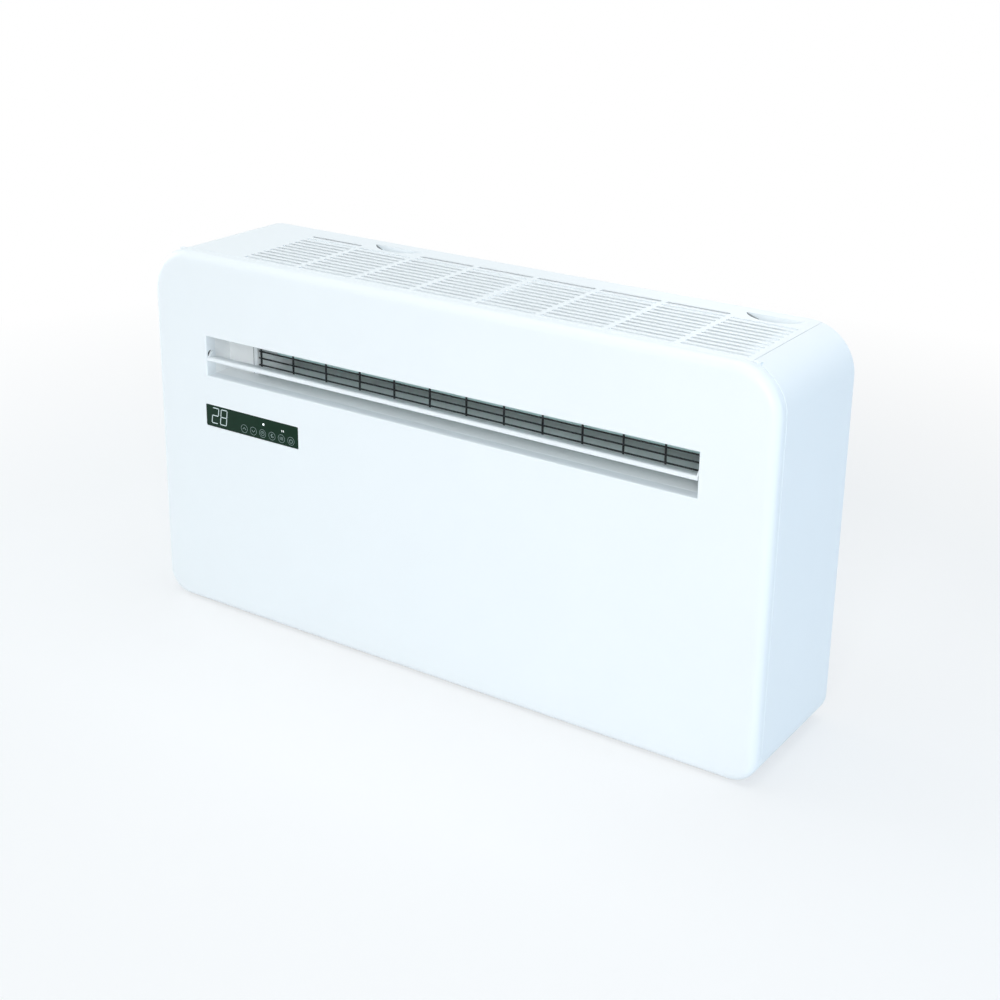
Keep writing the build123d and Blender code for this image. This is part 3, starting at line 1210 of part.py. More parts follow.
board_length = BOX_LENGTH - 4 * BOX_WALL - 2 * WALL
board_height = BOX_HEIGHT / 2
post_height = 2 * WALL
board_z = box_middle_z + BOX_HEIGHT / 8
with BuildPart() as control_board:
    with BuildSketch(Plane.XZ.offset(BOX_WALL - box_back_y)):
        with Locations((BOX_X, board_z)):
            with GridLocations(board_length - 4 * WALL, board_height - 4 * WALL, 2, 2):
                Circle(WALL)
    extrude(amount=post_height)
    board_back = box_back_y - BOX_WALL - post_height
    with BuildSketch(Plane.XZ.offset(-board_back)):
        with Locations((BOX_X, board_z)):
            Rectangle(board_length, board_height)
    extrude(amount=BOARD)
    with BuildSketch(Plane.XZ.offset(BOARD - board_back)):
        with Locations((BOX_X - board_length / 4, board_z + board_height / 4)):
            Rectangle(board_length / 3, board_height / 4)
    extrude(amount=BOX_DEPTH / 4)
    with BuildSketch(Plane.XZ.offset(BOARD - board_back)):
        with Locations((BOX_X + board_length / 4, board_z)):
            with GridLocations(0, board_height / 3, 1, 2):
                Circle(board_length / 9)
    extrude(amount=BOX_DEPTH / 3)
control_board.part.label = "control_board"

with BuildPart() as terminal_block:
    with BuildSketch(Plane.XY.offset(box_floor)):
        with Locations((BOX_X, box_back_y - BOX_DEPTH / 2)):
            Rectangle(board_length, BOX_DEPTH / 5)
    extrude(amount=BOX_DEPTH / 6)
    with BuildSketch(Plane.XY.offset(box_floor + BOX_DEPTH / 6)):
        with Locations((BOX_X, box_back_y - BOX_DEPTH / 2)):
            with GridLocations(board_length / 6, 0, 5, 1):
                Circle(WALL)
    extrude(amount=-2 * WALL, mode=Mode.SUBTRACT)
terminal_block.part.label = "terminal_block"


# Display: the window in the front panel and the board case behind it
with BuildPart() as display_window:
    with BuildSketch(Plane.XZ.offset(-SKIN_Y)):
        with Locations((DISPLAY_X, DISPLAY_Z)):
            window_size = (DISPLAY_LENGTH - 2 * DISPLAY_GAP, DISPLAY_HEIGHT - 2 * DISPLAY_GAP)
            RectangleRounded(*window_size, DISPLAY_CORNER - DISPLAY_GAP)
    extrude(amount=WALL)
display_window.part.label = "display_window"

with BuildPart() as display_board:
    with BuildSketch(Plane.XZ.offset(-SKIN_Y)):
        with Locations((DISPLAY_X, DISPLAY_Z)):
            case_size = (DISPLAY_LENGTH + 2 * DISPLAY_BOARD_RIM, DISPLAY_HEIGHT + 2 * DISPLAY_BOARD_RIM)
            RectangleRounded(*case_size, DISPLAY_CORNER + DISPLAY_BOARD_RIM / 2)
    extrude(amount=-DISPLAY_BOARD_DEPTH)
display_board.part.label = "display_board"


# Gland for the mains lead, with a nut on each side of the rear plate
with BuildPart() as power_gland:
    with BuildSketch(Plane.XZ.offset(-BACK)):
        with Locations((GLAND_X, GLAND_LEVEL)):
            Circle(GLAND_RADIUS)
    extrude(amount=2 * REAR_RECESS)
    for nut_y, thickness in ((PLATE_BACK, -WALL), (PLATE_FRONT, WALL)):
        with BuildSketch(Plane.XZ.offset(-nut_y)):
            with Locations((GLAND_X, GLAND_LEVEL)):
                RegularPolygon(GLAND_RADIUS + WALL, 6)
        extrude(amount=thickness)
    with BuildSketch(Plane.XZ.offset(-BACK)):
        with Locations((GLAND_X, GLAND_LEVEL)):
            Circle(GLAND_RADIUS / 2)
    extrude(amount=2 * REAR_RECESS, mode=Mode.SUBTRACT)
power_gland.part.label = "power_gland"


# Drain spigot through the pan's rear wall and the rear plate, with a collar on each side of them
with BuildPart() as drain_spigot:
    spigot_length = REAR_RECESS + 2 * SHEET + WALL
    with BuildSketch(Plane.XZ.offset(-BACK)):
        with Locations((SPIGOT_X, SPIGOT_LEVEL)):
            Circle(SPIGOT_RADIUS)
    extrude(amount=spigot_length)
    with BuildSketch(Plane.XZ.offset(SHEET - PLATE_FRONT)):
        with Locations((SPIGOT_X, SPIGOT_LEVEL)):
            Circle(SPIGOT_RADIUS + WALL)
    extrude(amount=WALL)
    with BuildSketch(Plane.XZ.offset(-PLATE_BACK)):
        with Locations((SPIGOT_X, SPIGOT_LEVEL)):
            Circle(SPIGOT_RADIUS + WALL)
    extrude(amount=-SPIGOT_COLLAR)
    with BuildSketch(Plane.XZ.offset(-BACK)):
        with Locations((SPIGOT_X, SPIGOT_LEVEL)):
            Circle(SPIGOT_BORE)
    extrude(amount=spigot_length, mode=Mode.SUBTRACT)
drain_spigot.part.label = "drain_spigot"


pieces = [
    front_panel,
    left_side_panel,
    right_side_panel,
    base_pan,
    rear_plate,
    casing_screws,
    partition_plate,
    top_grille,
    *filters,
    outlet_housing,
    outlet_guard,
    flap,
    flap_bushes,
    flap_motor,
    cross_flow_fan,
    fan_bearing,
    cross_flow_motor,
    evaporator_coil,
    evaporator_end_plates,
    evaporator_bends,
    drip_tray,
    intake_duct_ring,
    exhaust_duct_ring,
    condenser_coil,
    condenser_end_plates,
    condenser_bends,
    condenser_fan_housing,
    condenser_fan_wheel,
    condenser_fan_motor,
    compressor_mounts,
    compressor,
    accumulator,
    discharge_pipe,
    suction_pipe,
    inlet_pipe,
    liquid_pipe,
    control_box,
    control_box_lid,
    control_board,
    terminal_block,
    display_window,
    display_board,
    power_gland,
    drain_spigot,
]
os.makedirs("parts", exist_ok=True)
for piece in pieces:
    export_step(piece.part, "parts/" + piece.part.label + ".step")
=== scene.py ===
"""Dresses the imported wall-mounted monoblock air conditioner.

Every length here is in millimetres and is turned into metres when a mesh is made. X runs to the
right seen from the front, the front faces -Y and Z is up, as in the frame.
"""
import logging
from dataclasses import dataclass
from enum import Enum
from math import cos, radians, sin

import bpy
import numpy as np
from mathutils import Matrix, Vector

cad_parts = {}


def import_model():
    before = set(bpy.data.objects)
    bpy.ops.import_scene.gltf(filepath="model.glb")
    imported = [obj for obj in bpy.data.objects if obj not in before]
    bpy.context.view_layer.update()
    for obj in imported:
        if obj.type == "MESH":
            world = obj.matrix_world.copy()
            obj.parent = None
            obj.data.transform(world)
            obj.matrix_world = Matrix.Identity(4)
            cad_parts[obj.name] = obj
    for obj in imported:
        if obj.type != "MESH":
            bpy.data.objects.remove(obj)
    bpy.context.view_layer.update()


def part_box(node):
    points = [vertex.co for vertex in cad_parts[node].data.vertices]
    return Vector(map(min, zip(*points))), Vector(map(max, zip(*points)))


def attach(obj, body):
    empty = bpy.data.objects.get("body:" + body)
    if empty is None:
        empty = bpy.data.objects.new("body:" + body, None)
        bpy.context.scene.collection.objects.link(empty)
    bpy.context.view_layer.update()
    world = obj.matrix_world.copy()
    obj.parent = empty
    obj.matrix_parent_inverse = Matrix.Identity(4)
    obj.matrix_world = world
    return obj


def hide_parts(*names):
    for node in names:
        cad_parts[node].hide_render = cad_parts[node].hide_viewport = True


log = logging.getLogger("air_conditioner")
MM = 0.001
LAMP_AIM = 280.0  # the level at the casing's middle that every lamp faces
Pair = tuple[float, float]
Triple = tuple[float, float, float]
Colour = Triple
Mesh = tuple[np.ndarray, list | np.ndarray]  # points, and faces as rows of point numbers


class Body(Enum):
    """The frame's moving groups that a piece can ride on."""

    CASING = "casing"
    GRILLE = "top_grille"
    FLAP = "flap"
    ROOM_FAN = "cross_flow_fan"
    OUTDOOR_FAN = "condenser_fan"


class Axis(Enum):
    """A main direction, as the index of its coordinate."""

    X = 0
    Y = 1
    Z = 2


# Shader maths


class Wire:
    """One socket of a material, on which plain arithmetic adds Math nodes."""

    def __init__(self, sheet: "Sheet", socket: bpy.types.NodeSocket) -> None:
        """Keeps the sheet that the socket's node stands on."""
        self.sheet = sheet
        self.socket = socket

    def __add__(self, other: object) -> "Wire":
        """The sum."""
        return self.sheet.maths("ADD", self, other)

    def __sub__(self, other: object) -> "Wire":
        """The difference."""
        return self.sheet.maths("SUBTRACT", self, other)

    def __mul__(self, other: object) -> "Wire":
        """The product."""
        return self.sheet.maths("MULTIPLY", self, other)


class Sheet:
    """The node sheet of a material or of the world."""

    def __init__(self, name: str, world: bool = False) -> None:
        """Makes the empty material or world."""
        self.owner = (bpy.data.worlds if world else bpy.data.materials).new(name)
        self.owner.use_nodes = True
        self.tree = self.owner.node_tree
        self.tree.nodes.clear()
        self._place: Wire | None = None

    def node(self, kind: str, settings: dict[str, object] | None = None,
             **sockets: object) -> bpy.types.Node:
        """Adds a node, its settings first and then its sockets.

        Args:
            kind: The node's type.
            settings: Attributes of the node.
            sockets: Values or Wires by socket name, with _ for a space, or by a number as in s0.

        Returns:
            The node.
        """
        made = self.tree.nodes.new(kind)
        for key, value in (settings or {}).items():
            setattr(made, key, value)
        for key, value in sockets.items():
            number = key[1:] if key[0] == "s" and key[1:].isdigit() else None
            socket = made.inputs[int(number) if number else key.replace("_", " ")]
            if isinstance(value, Wire):
                self.tree.links.new(value.socket, socket)
            elif isinstance(value, tuple) and socket.type == "RGBA":
                socket.default_value = (*value[:3], 1.0)
            else:
                socket.default_value = value
        return made

    def out(self, made: bpy.types.Node, output: int | str = 0) -> Wire:
        """A node's output as a Wire."""
        return Wire(self, made.outputs[output])

    def maths(self, operation: str, first: object, second: object = 0.0, clamp: bool = False) -> Wire:
        """One Math node of two values."""
        settings = {"operation": operation, "use_clamp": clamp}
        return self.out(self.node("ShaderNodeMath", settings, s0=first, s1=second))

    def place(self) -> Wire:
        """The point on the piece, in metres in its own frame."""
        if self._place is None:
            self._place = self.out(self.node("ShaderNodeTexCoord"), "Object")
        return self._place

    def spot(self, stretch: Triple) -> Wire:
        """The point on the piece, stretched along X, Y and Z."""
        return self.out(self.node("ShaderNodeMapping", Vector=self.place(), Scale=stretch))

    def noise(self, size: float, detail: float = 2.0, stretch: Triple = (1.0, 1.0, 1.0)) -> Wire:
        """Soft random variation from 0 to 1.

        Args:
            size: The size of its patches in millimetres.
            detail: How many finer layers it has.
            stretch: How many times as close the patches are along X, Y and Z.

        Returns:
            The noise's factor.
        """
        return self.out(self.node("ShaderNodeTexNoise", Vector=self.spot(stretch), Detail=detail,
                                  Scale=1.0 / (size * MM)))

    def cells(self, size: float, feature: str = "F1", stretch: Triple = (1.0, 1.0, 1.0)) -> bpy.types.Node:
        """A Voronoi pattern whose cells are about size millimetres across."""
        return self.node("ShaderNodeTexVoronoi", {"feature": feature}, Vector=self.spot(stretch),
                         Scale=1.0 / (size * MM))

    def over(self, value: Wire, start: float, gain: float) -> Wire:
        """How far a value is past a start, times a gain, held between 0 and 1."""
        return self.maths("MULTIPLY", value - start, gain, clamp=True)

    def blend(self, share: object, first: object, second: object) -> Wire:
        """A colour between two colours."""
        mix = self.node("ShaderNodeMix", {"data_type": "RGBA"}, s0=share, s6=first, s7=second)
        return self.out(mix, 2)

    def finish(self, **sockets: object) -> bpy.types.Material:
        """Adds the Principled shader and the output.

        Args:
            sockets: What feeds the shader, by socket name.

        Returns:
            The finished material.
        """
        shader = self.node("ShaderNodeBsdfPrincipled", **sockets)
        self.node("ShaderNodeOutputMaterial", Surface=self.out(shader))
        return self.owner

    def skin(self, base: Wire, gloss: Wire, height: Wire, depth: float,
             **sockets: object) -> bpy.types.Material:
        """Finishes a surface that has a fine relief.

        Args:
            base: Its colour.
            gloss: Its roughness.
            height: The relief, from 0 to 1.
            depth: How many millimetres the relief's 1 stands for.
            sockets: What else feeds the shader.

        Returns:
            The finished material.
        """
        relief = self.node("ShaderNodeBump", Height=height, Strength=1.0, Distance=depth * MM)
        return self.finish(Base_Color=base, Roughness=gloss, Normal=self.out(relief), **sockets)


# Finishes


def shade(colour: Colour, factor: float, lift: float = 0.0) -> Colour:
    """A colour times a factor plus a lift, held below white."""
    return tuple(min(1.0, part * factor + lift) for part in colour)


@dataclass(frozen=True)
class MouldedPlastic:
    """Moulded plastic with a fine grain and slight flow clouds."""

    name: str
    colour: Colour
    roughness: float = 0.42
    grain: float = 0.9
    grain_depth: float = 0.02
    cloud: float = 0.015
    cloud_size: float = 140.0
    grain_gloss: float = 0.10
    cloud_gloss: float = 0.06

    def make(self) -> bpy.types.Material:
        """Builds the material."""
        sheet = Sheet(self.name)
        clouds = sheet.noise(self.cloud_size, 3.0)
        fine = sheet.noise(self.grain)
        base = sheet.blend(clouds, shade(self.colour, 1.0 - 2.0 * self.cloud), self.colour)
        least = self.roughness - (self.grain_gloss + self.cloud_gloss) / 2.0
        gloss = fine * self.grain_gloss + (clouds * self.cloud_gloss + least)
        return sheet.skin(base, gloss, fine, self.grain_depth, IOR=1.5)


@dataclass(frozen=True)
class PowderCoat:
    """Black powder coat on wire: satin, with orange peel and paler worn high spots."""

    name: str
    colour: Colour
    worn: Colour
    peel_size: float = 0.8
    peel_depth: float = 0.05
    wear_size: float = 9.0
    wear_start: float = 0.62
    wear_gain: float = 4.0

    def make(self) -> bpy.types.Material:
        """Builds the material."""
        sheet = Sheet(self.name)
        peel = sheet.noise(self.peel_size, 3.0)
        wear = sheet.over(sheet.noise(self.wear_size, 4.0), self.wear_start, self.wear_gain)
        base = sheet.blend(wear, self.colour, self.worn)
        return sheet.skin(base, peel * 0.16 + 0.30, peel, self.peel_depth)


@dataclass(frozen=True)
class ZincSheet:
    """Zinc-coated steel sheet with its frosty spangle and faint rolling lines."""

    name: str
    colour: Colour = (0.62, 0.64, 0.66)
    spangle: float = 11.0
    contrast: float = 1.18
    line_size: float = 1.4
    line_depth: float = 0.03

    def make(self) -> bpy.types.Material:
        """Builds the material, with one random tone for each crystal."""
        sheet = Sheet(self.name)
        split = sheet.node("ShaderNodeSeparateColor", s0=sheet.out(sheet.cells(self.spangle), "Color"))
        tone = sheet.out(split)
        base = sheet.blend(tone, self.colour, shade(self.colour, self.contrast))
        rolled = sheet.noise(self.line_size, 2.0, (0.06, 1.0, 1.0))
        gloss = tone * 0.16 + (rolled * 0.08 + 0.34)
        return sheet.skin(base, gloss, rolled, self.line_depth, Metallic=0.85)


@dataclass(frozen=True)
class Metal:
    """Bare or plated metal with fine scratches along it and a clouded tarnish."""

    name: str
    colour: Colour
    tarnish: Colour
    roughness: float = 0.3
    scratch: Triple = (0.1, 1.0, 1.0)
    stain_size: float = 16.0
    stain_start: float = 0.42
    stain_gain: float = 2.6
    scratch_size: float = 0.7
    scratch_depth: float = 0.02
    scratch_gloss: float = 0.12
    stain_gloss: float = 0.22

    def make(self) -> bpy.types.Material:
        """Builds the material."""
        sheet = Sheet(self.name)
        stain = sheet.over(sheet.noise(self.stain_size, 4.0), self.stain_start, self.stain_gain)
        lines = sheet.noise(self.scratch_size, 3.0, self.scratch)
        base = sheet.blend(stain, self.colour, self.tarnish)
        least = self.roughness - self.scratch_gloss / 2.0
        gloss = stain * self.stain_gloss + (lines * self.scratch_gloss + least)
        return sheet.skin(base, gloss, lines, self.scratch_depth, Metallic=1.0)


@dataclass(frozen=True)
class Enamel:
    """Glossy paint over a shell: orange peel under a clear coat, with dust on it."""

    name: str
    colour: Colour
    peel_size: float = 2.2
    peel_depth: float = 0.06
    dust_size: float = 26.0
    dust_start: float = 0.5
    dust_gain: float = 1.2

    def make(self) -> bpy.types.Material:
        """Builds the material."""
        sheet = Sheet(self.name)
        peel = sheet.noise(self.peel_size)
        dust = sheet.over(sheet.noise(self.dust_size, 5.0), self.dust_start, self.dust_gain)
        base = sheet.blend(dust, self.colour, shade(self.colour, 0.7, 0.06))
        return sheet.skin(base, dust * 0.25 + 0.26, peel, self.peel_depth, Coat_Weight=0.4,
                          Coat_Roughness=0.12)


@dataclass(frozen=True)
class Rubber:
    """Matt rubber with a fine pitted skin."""

    name: str
    colour: Colour = (0.022, 0.022, 0.024)
    pit_size: float = 0.6
    pit_depth: float = 0.06
    bloom_size: float = 18.0
    bloom: float = 1.9

    def make(self) -> bpy.types.Material:
        """Builds the material."""
        sheet = Sheet(self.name)
        pits = sheet.noise(self.pit_size, 3.0)
        base = sheet.blend(sheet.noise(self.bloom_size, 3.0), self.colour, shade(self.colour, self.bloom))
        return sheet.skin(base, pits * 0.2 + 0.62, pits, self.pit_depth)


@dataclass(frozen=True)
class SmokedWindow:
    """The display's near-black window: glossy, with a green-grey smoke under its surface."""

    name: str
    colour: Colour
    smoke: Colour
    haze_size: float = 38.0
    dot_size: float = 0.9
    gleam: float = 0.11

    def make(self) -> bpy.types.Material:
        """Builds the material."""
        sheet = Sheet(self.name)
        haze = sheet.noise(self.haze_size, 3.0, (1.0, 1.0, 1.4))
        dots = sheet.noise(self.dot_size, 1.0)
        base = sheet.blend(haze * 0.7 + dots * 0.3, self.colour, self.smoke)
        return sheet.finish(Base_Color=base, Roughness=dots * 0.05 + 0.20, Specular_IOR_Level=self.gleam)


@dataclass(frozen=True)
class Glow:
    """A lit mark: a pale diffuser that gives its own light, slightly uneven over its length."""

    name: str
    colour: Colour
    strength: float
    patch_size: float = 2.5
    dimmest: float = 0.86

    def make(self) -> bpy.types.Material:
        """Builds the material."""
        sheet = Sheet(self.name)
        uneven = sheet.noise(self.patch_size, 1.0)
        lit = sheet.blend(uneven, shade(self.colour, self.dimmest), self.colour)
        return sheet.finish(Base_Color=lit, Roughness=0.6, Emission_Color=lit,
                            Emission_Strength=self.strength)


@dataclass(frozen=True)
class BoardLacquer:
    """A circuit board: green lacquer over its copper tracks."""

    name: str = "board_lacquer"
    colour: Colour = (0.02, 0.13, 0.06)
    track: Colour = (0.05, 0.24, 0.10)
    pitch: float = 5.0
    track_share: float = 0.09
    track_depth: float = 0.04

    def make(self) -> bpy.types.Material:
        """Builds the material."""
        sheet = Sheet(self.name)
        spread = sheet.cells(self.pitch, "DISTANCE_TO_EDGE", (1.0, 0.01, 1.0))
        lines = sheet.maths("LESS_THAN", sheet.out(spread, "Distance"), self.track_share)
        base = sheet.blend(lines, self.colour, self.track)
        return sheet.skin(base, sheet.noise(3.0) * 0.1 + 0.3, lines, self.track_depth)


# Surfaces


def faces_of_grid(rows: int, columns: int, close_rows: bool, close_columns: bool) -> np.ndarray:
    """Quads of a grid of points: each joins a point to the next in its row and the row after.

    Args:
        rows: How many rows of points there are.
        columns: How many points a row has.
        close_rows: Whether the last row joins the first.
        close_columns: Whether each row's last point joins its first.

    Returns:
        The faces, four point numbers each.
    """
    row = np.arange(rows if close_rows else rows - 1)[:, None]
    column = np.arange(columns if close_columns else columns - 1)[None, :]
    after, beside = (row + 1) % rows, (column + 1) % columns
    corners = [row * columns + column, row * columns + beside, after * columns + beside,
               after * columns + column]
    return np.stack([np.broadcast_to(c, (row.size, column.size)) for c in corners], -1).reshape(-1, 4)


def placed(name: str, data: bpy.types.ID) -> bpy.types.Object:
    """Makes an object of a mesh, a camera or a light and puts it in the scene."""
    thing = bpy.data.objects.new(name, data)
    bpy.context.scene.collection.objects.link(thing)
    return thing


def mesh_piece(name: str, points: np.ndarray, faces: list, smooth: float | None = 35.0) -> bpy.types.Object:
    """Makes an object from points in millimetres.

    Args:
        name: The piece's name.
        points: The points, three numbers each.
        faces: The faces as rows of point numbers.
        smooth: The angle in degrees under which an edge is shaded round, or None for flat faces.

    Returns:
        The object, at the origin.
    """
    mesh = bpy.data.meshes.new(name)
    mesh.from_pydata((np.asarray(points).reshape(-1, 3) * MM).tolist(), [], [list(f) for f in faces])
    mesh.validate()
    if smooth is not None:
        mesh.shade_smooth()
        mesh.set_sharp_from_angle(angle=radians(smooth))
    return placed(name, mesh)


def turned(profile: np.ndarray, centre: Pair, steps: int) -> Mesh:
    """A profile of (radius, distance along Y) carried round an axis along Y.

    Args:
        profile: The closed profile, two numbers a point.
        centre: Where the axis is, in X and Z.
        steps: How many places round the axis the profile is set at.

    Returns:
        The points and the faces.
    """
    angle = np.linspace(0.0, 2.0 * np.pi, steps, endpoint=False)[:, None]
    points = np.empty((steps, len(profile), 3))
    points[..., 0] = profile[:, 0] * np.cos(angle) + centre[0]
    points[..., 1] = profile[:, 1]
    points[..., 2] = profile[:, 0] * np.sin(angle) + centre[1]
    return points.reshape(-1, 3), faces_of_grid(steps, len(profile), True, False).tolist()


def block(low: list[float], high: list[float]) -> Mesh:
    """A box: each of its points takes every coordinate from its low or its high corner."""
    pick = np.array([[i & 1, i >> 1 & 1, i >> 2 & 1] for i in range(8)])
    faces = [[0, 2, 3, 1], [4, 5, 7, 6], [0, 1, 5, 4], [2, 6, 7, 3], [0, 4, 6, 2], [1, 3, 7, 5]]
    return np.where(pick, high, low), faces


def stroke(path: np.ndarray | list, width: float, closed: bool) -> Mesh:
    """A line of even width along a path: each point is set off to both sides by half the width.

    Args:
        path: The path, two numbers a point.
        width: The line's width.
        closed: Whether the path's end joins its start.

    Returns:
        The points, two numbers each, and the faces, anticlockwise.
    """
    path = np.asarray(path, float)
    if closed:
        ahead, behind = np.roll(path, -1, 0), np.roll(path, 1, 0)
    else:
        ahead = np.vstack([path[1:], path[-1:]])
        behind = np.vstack([path[:1], path[:-1]])
    run = ahead - behind
    run = run / np.linalg.norm(run, axis=1, keepdims=True)
    side = np.stack([-run[:, 1], run[:, 0]], -1) * width / 2.0
    points = np.stack([path - side, path + side], 1).reshape(-1, 2)
    return points, faces_of_grid(len(path), 2, closed, False)[:, ::-1]


def ring_path(centre: Pair, radius: float, start: float = 0.0, sweep: float = 360.0,
              steps: int = 24) -> np.ndarray:
    """Points on a circle: the centre plus the radius at evenly spaced angles."""
    closed = abs(sweep) >= 360.0
    angle = np.radians(np.linspace(start, start + sweep, steps, endpoint=not closed))
    return np.stack([centre[0] + radius * np.cos(angle), centre[1] + radius * np.sin(angle)], -1)


def crescent(centre: Pair, radius: float, width: float, start: float, sweep: float) -> Mesh:
    """A flat crescent: its half width at t is half the width times sin of pi t.

    Args:
        centre: The middle of the circle that it follows.
        radius: The circle's radius.
        width: The width at the crescent's middle.
        start: The angle at which it starts, in degrees.
        sweep: The angle that it spans.

    Returns:
        The points, two numbers each, and the faces.
    """
    share = np.linspace(0.0, 1.0, 25)
    turn = np.radians(start + sweep * share)
    half = width / 2.0 * np.sin(np.pi * share) + 0.05  # so that no end closes to a point
    rings = np.stack([radius - half, radius + half])
    points = np.stack([centre[0] + rings * np.cos(turn), centre[1] + rings * np.sin(turn)], -1)
    return points.reshape(-1, 2), faces_of_grid(2, len(share), False, False)[:, ::-1]


def join(parts: list[Mesh]) -> Mesh:
    """Joins sets of points and faces into one, moving each set's point numbers up."""
    points, faces, count = [], [], 0
    for part_points, part_faces in parts:
        points.append(part_points)
        faces.extend([[int(number) + count for number in face] for face in part_faces])
        count += len(part_points)
    return np.vstack(points), faces


def carried(centre: np.ndarray, side: Triple, up: Triple, section: np.ndarray) -> Mesh:
    """Sections carried along many paths at once: centre plus side times u plus up times v.

    Args:
        centre: The paths' stations, as paths by stations by three.
        side: The direction of the section's u. Crossed with up it gives the paths' direction.
        up: The direction of the section's v.
        section: The corners as u and v, anticlockwise, as stations or one by corners by two.

    Returns:
        The points and the faces, with a cap on each end.
    """
    side, up = np.array(side), np.array(up)
    points = centre[:, :, None] + section[None, ..., :1] * side + section[None, ..., 1:] * up
    paths, stations, corners = points.shape[:3]
    around = faces_of_grid(stations, corners, False, True)
    start = np.arange(paths) * stations * corners
    faces = (around[None] + start[:, None, None]).reshape(-1, 4).tolist()
    ring = np.arange(corners)
    faces += (ring[::-1] + start[:, None]).tolist()
    faces += (ring + start[:, None] + (stations - 1) * corners).tolist()
    return points.reshape(-1, 3), faces


def round_section(radius: float, corners: int, stations: np.ndarray | None = None) -> np.ndarray:
    """A circle's corners for carried, with one share of the radius for each station."""
    angle = np.linspace(0.0, 2.0 * np.pi, corners, endpoint=False)
    ring = radius * np.stack([np.cos(angle), np.sin(angle)], -1)
    return ring[None] if stations is None else ring[None] * stations[:, None, None]


def wires(first: np.ndarray, axis: Axis, length: float, radius: float) -> Mesh:
    """Straight round wires with domed ends.

    Each dome is a quarter circle: the radius times sin t, at the radius times 1 - cos t from the end.

    Args:
        first: Each wire's starting point.
        axis: The direction that they run in.
        length: Their length.
        radius: Their radius.

    Returns:
        The points and the faces.
    """
    turn = np.radians([8.0, 30.0, 60.0, 90.0])
    share = np.sin(turn)
    depth = radius * (1.0 - np.cos(turn))
    along = np.concatenate([depth, length - depth[::-1]])
    share = np.concatenate([share, share[::-1]])
    run, side, up = np.roll(np.eye(3), -axis.value, 0)
    centre = first[:, None] + along[None, :, None] * run
    return carried(centre, tuple(side), tuple(up), round_section(radius, 12, share))


def dress(finish: bpy.types.Material, *nodes: str) -> None:
    """Gives CAD nodes one material in all their slots."""
    for node in nodes:
        piece = bpy.data.objects[node]
        if not piece.material_slots:
            piece.data.materials.append(finish)
        for place in piece.material_slots:
            place.material = finish


def thicken(piece: bpy.types.Object, thickness: float, offset: float = -1.0) -> bpy.types.Object:
    """Gives a flat piece a thickness in millimetres, by default behind its face."""
    skin = piece.modifiers.new("thickness", "SOLIDIFY")
    skin.thickness, skin.offset = thickness * MM, offset
    return piece


def settle(piece: bpy.types.Object, finish: bpy.types.Material, slot: str, *replaced: str,
           body: Body = Body.CASING) -> None:
    """Gives a new piece its finish and its body.

    Args:
        piece: The new piece.
        finish: Its material.
        slot: The record's material slot that the finish belongs to; not used.
        replaced: The CAD nodes that it stands for.
        body: The body that it rides on.
    """
    piece.data.materials.append(finish)
    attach(piece, body.value)
    if replaced:
        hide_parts(*replaced)
    log.info("piece %s rides on %s, %d faces", piece.name, body.value, len(piece.data.polygons))


# Sub-assemblies


class Paints:
    """Every finish of the object, made once."""

    def __init__(self) -> None:
        """Makes the materials."""
        self.casing = MouldedPlastic("white_casing", (0.88, 0.92, 0.94)).make()
        # Paler than the casing's white so that the shaded outlet recess and the floor under the flap read
        # bright: painted light.
        self.inside = MouldedPlastic("white_inside", (0.95, 0.975, 0.98), 0.5).make()
        self.guard = PowderCoat("guard_black", (0.012, 0.013, 0.015), (0.05, 0.05, 0.055)).make()
        self.fan = MouldedPlastic("fan_grey_green", (0.72, 0.97, 0.95), 0.5, 1.2, 0.04, 0.02).make()
        self.zinc = ZincSheet("zinc_sheet").make()
        self.fins = Metal("fin_aluminium", (0.80, 0.81, 0.82), (0.62, 0.64, 0.66), 0.34).make()
        self.copper = Metal("pipe_copper", (0.80, 0.42, 0.28), (0.42, 0.20, 0.13), 0.26).make()
        self.steel = Metal("motor_steel", (0.56, 0.57, 0.59), (0.38, 0.38, 0.40), 0.36).make()
        self.enamel = Enamel("compressor_black", (0.015, 0.016, 0.018)).make()
        self.rubber = Rubber("black_rubber").make()
        self.dark = MouldedPlastic("dark_plastic", (0.045, 0.047, 0.05), 0.5).make()
        self.board = BoardLacquer().make()
        self.net = MouldedPlastic("filter_net", (0.90, 0.94, 0.95), 0.7, 0.6, 0.03).make()
        self.window = SmokedWindow("display_smoke", (0.004, 0.022, 0.011), (0.008, 0.034, 0.019)).make()
        self.digits = Glow("digit_light", (0.58, 0.68, 0.68), 0.22).make()
        self.icons = Glow("icon_light", (0.20, 0.27, 0.26), 0.10).make()
        self.lamp = Glow("lamp_light", (0.95, 1.0, 1.0), 0.9).make()
        self.foam = Rubber("seal_foam", (0.05, 0.052, 0.055)).make()
        self.screw = Metal("screw_zinc", (0.66, 0.67, 0.70), (0.45, 0.46, 0.50), 0.28,
                           (1.0, 1.0, 1.0)).make()
        # Dark grey for painted shade: the open joint beside the divider strip and the scoops' shadowed
        # walls.
        self.painted_shade = MouldedPlastic("painted_shade_grey", (0.16, 0.18, 0.19), 0.6).make()


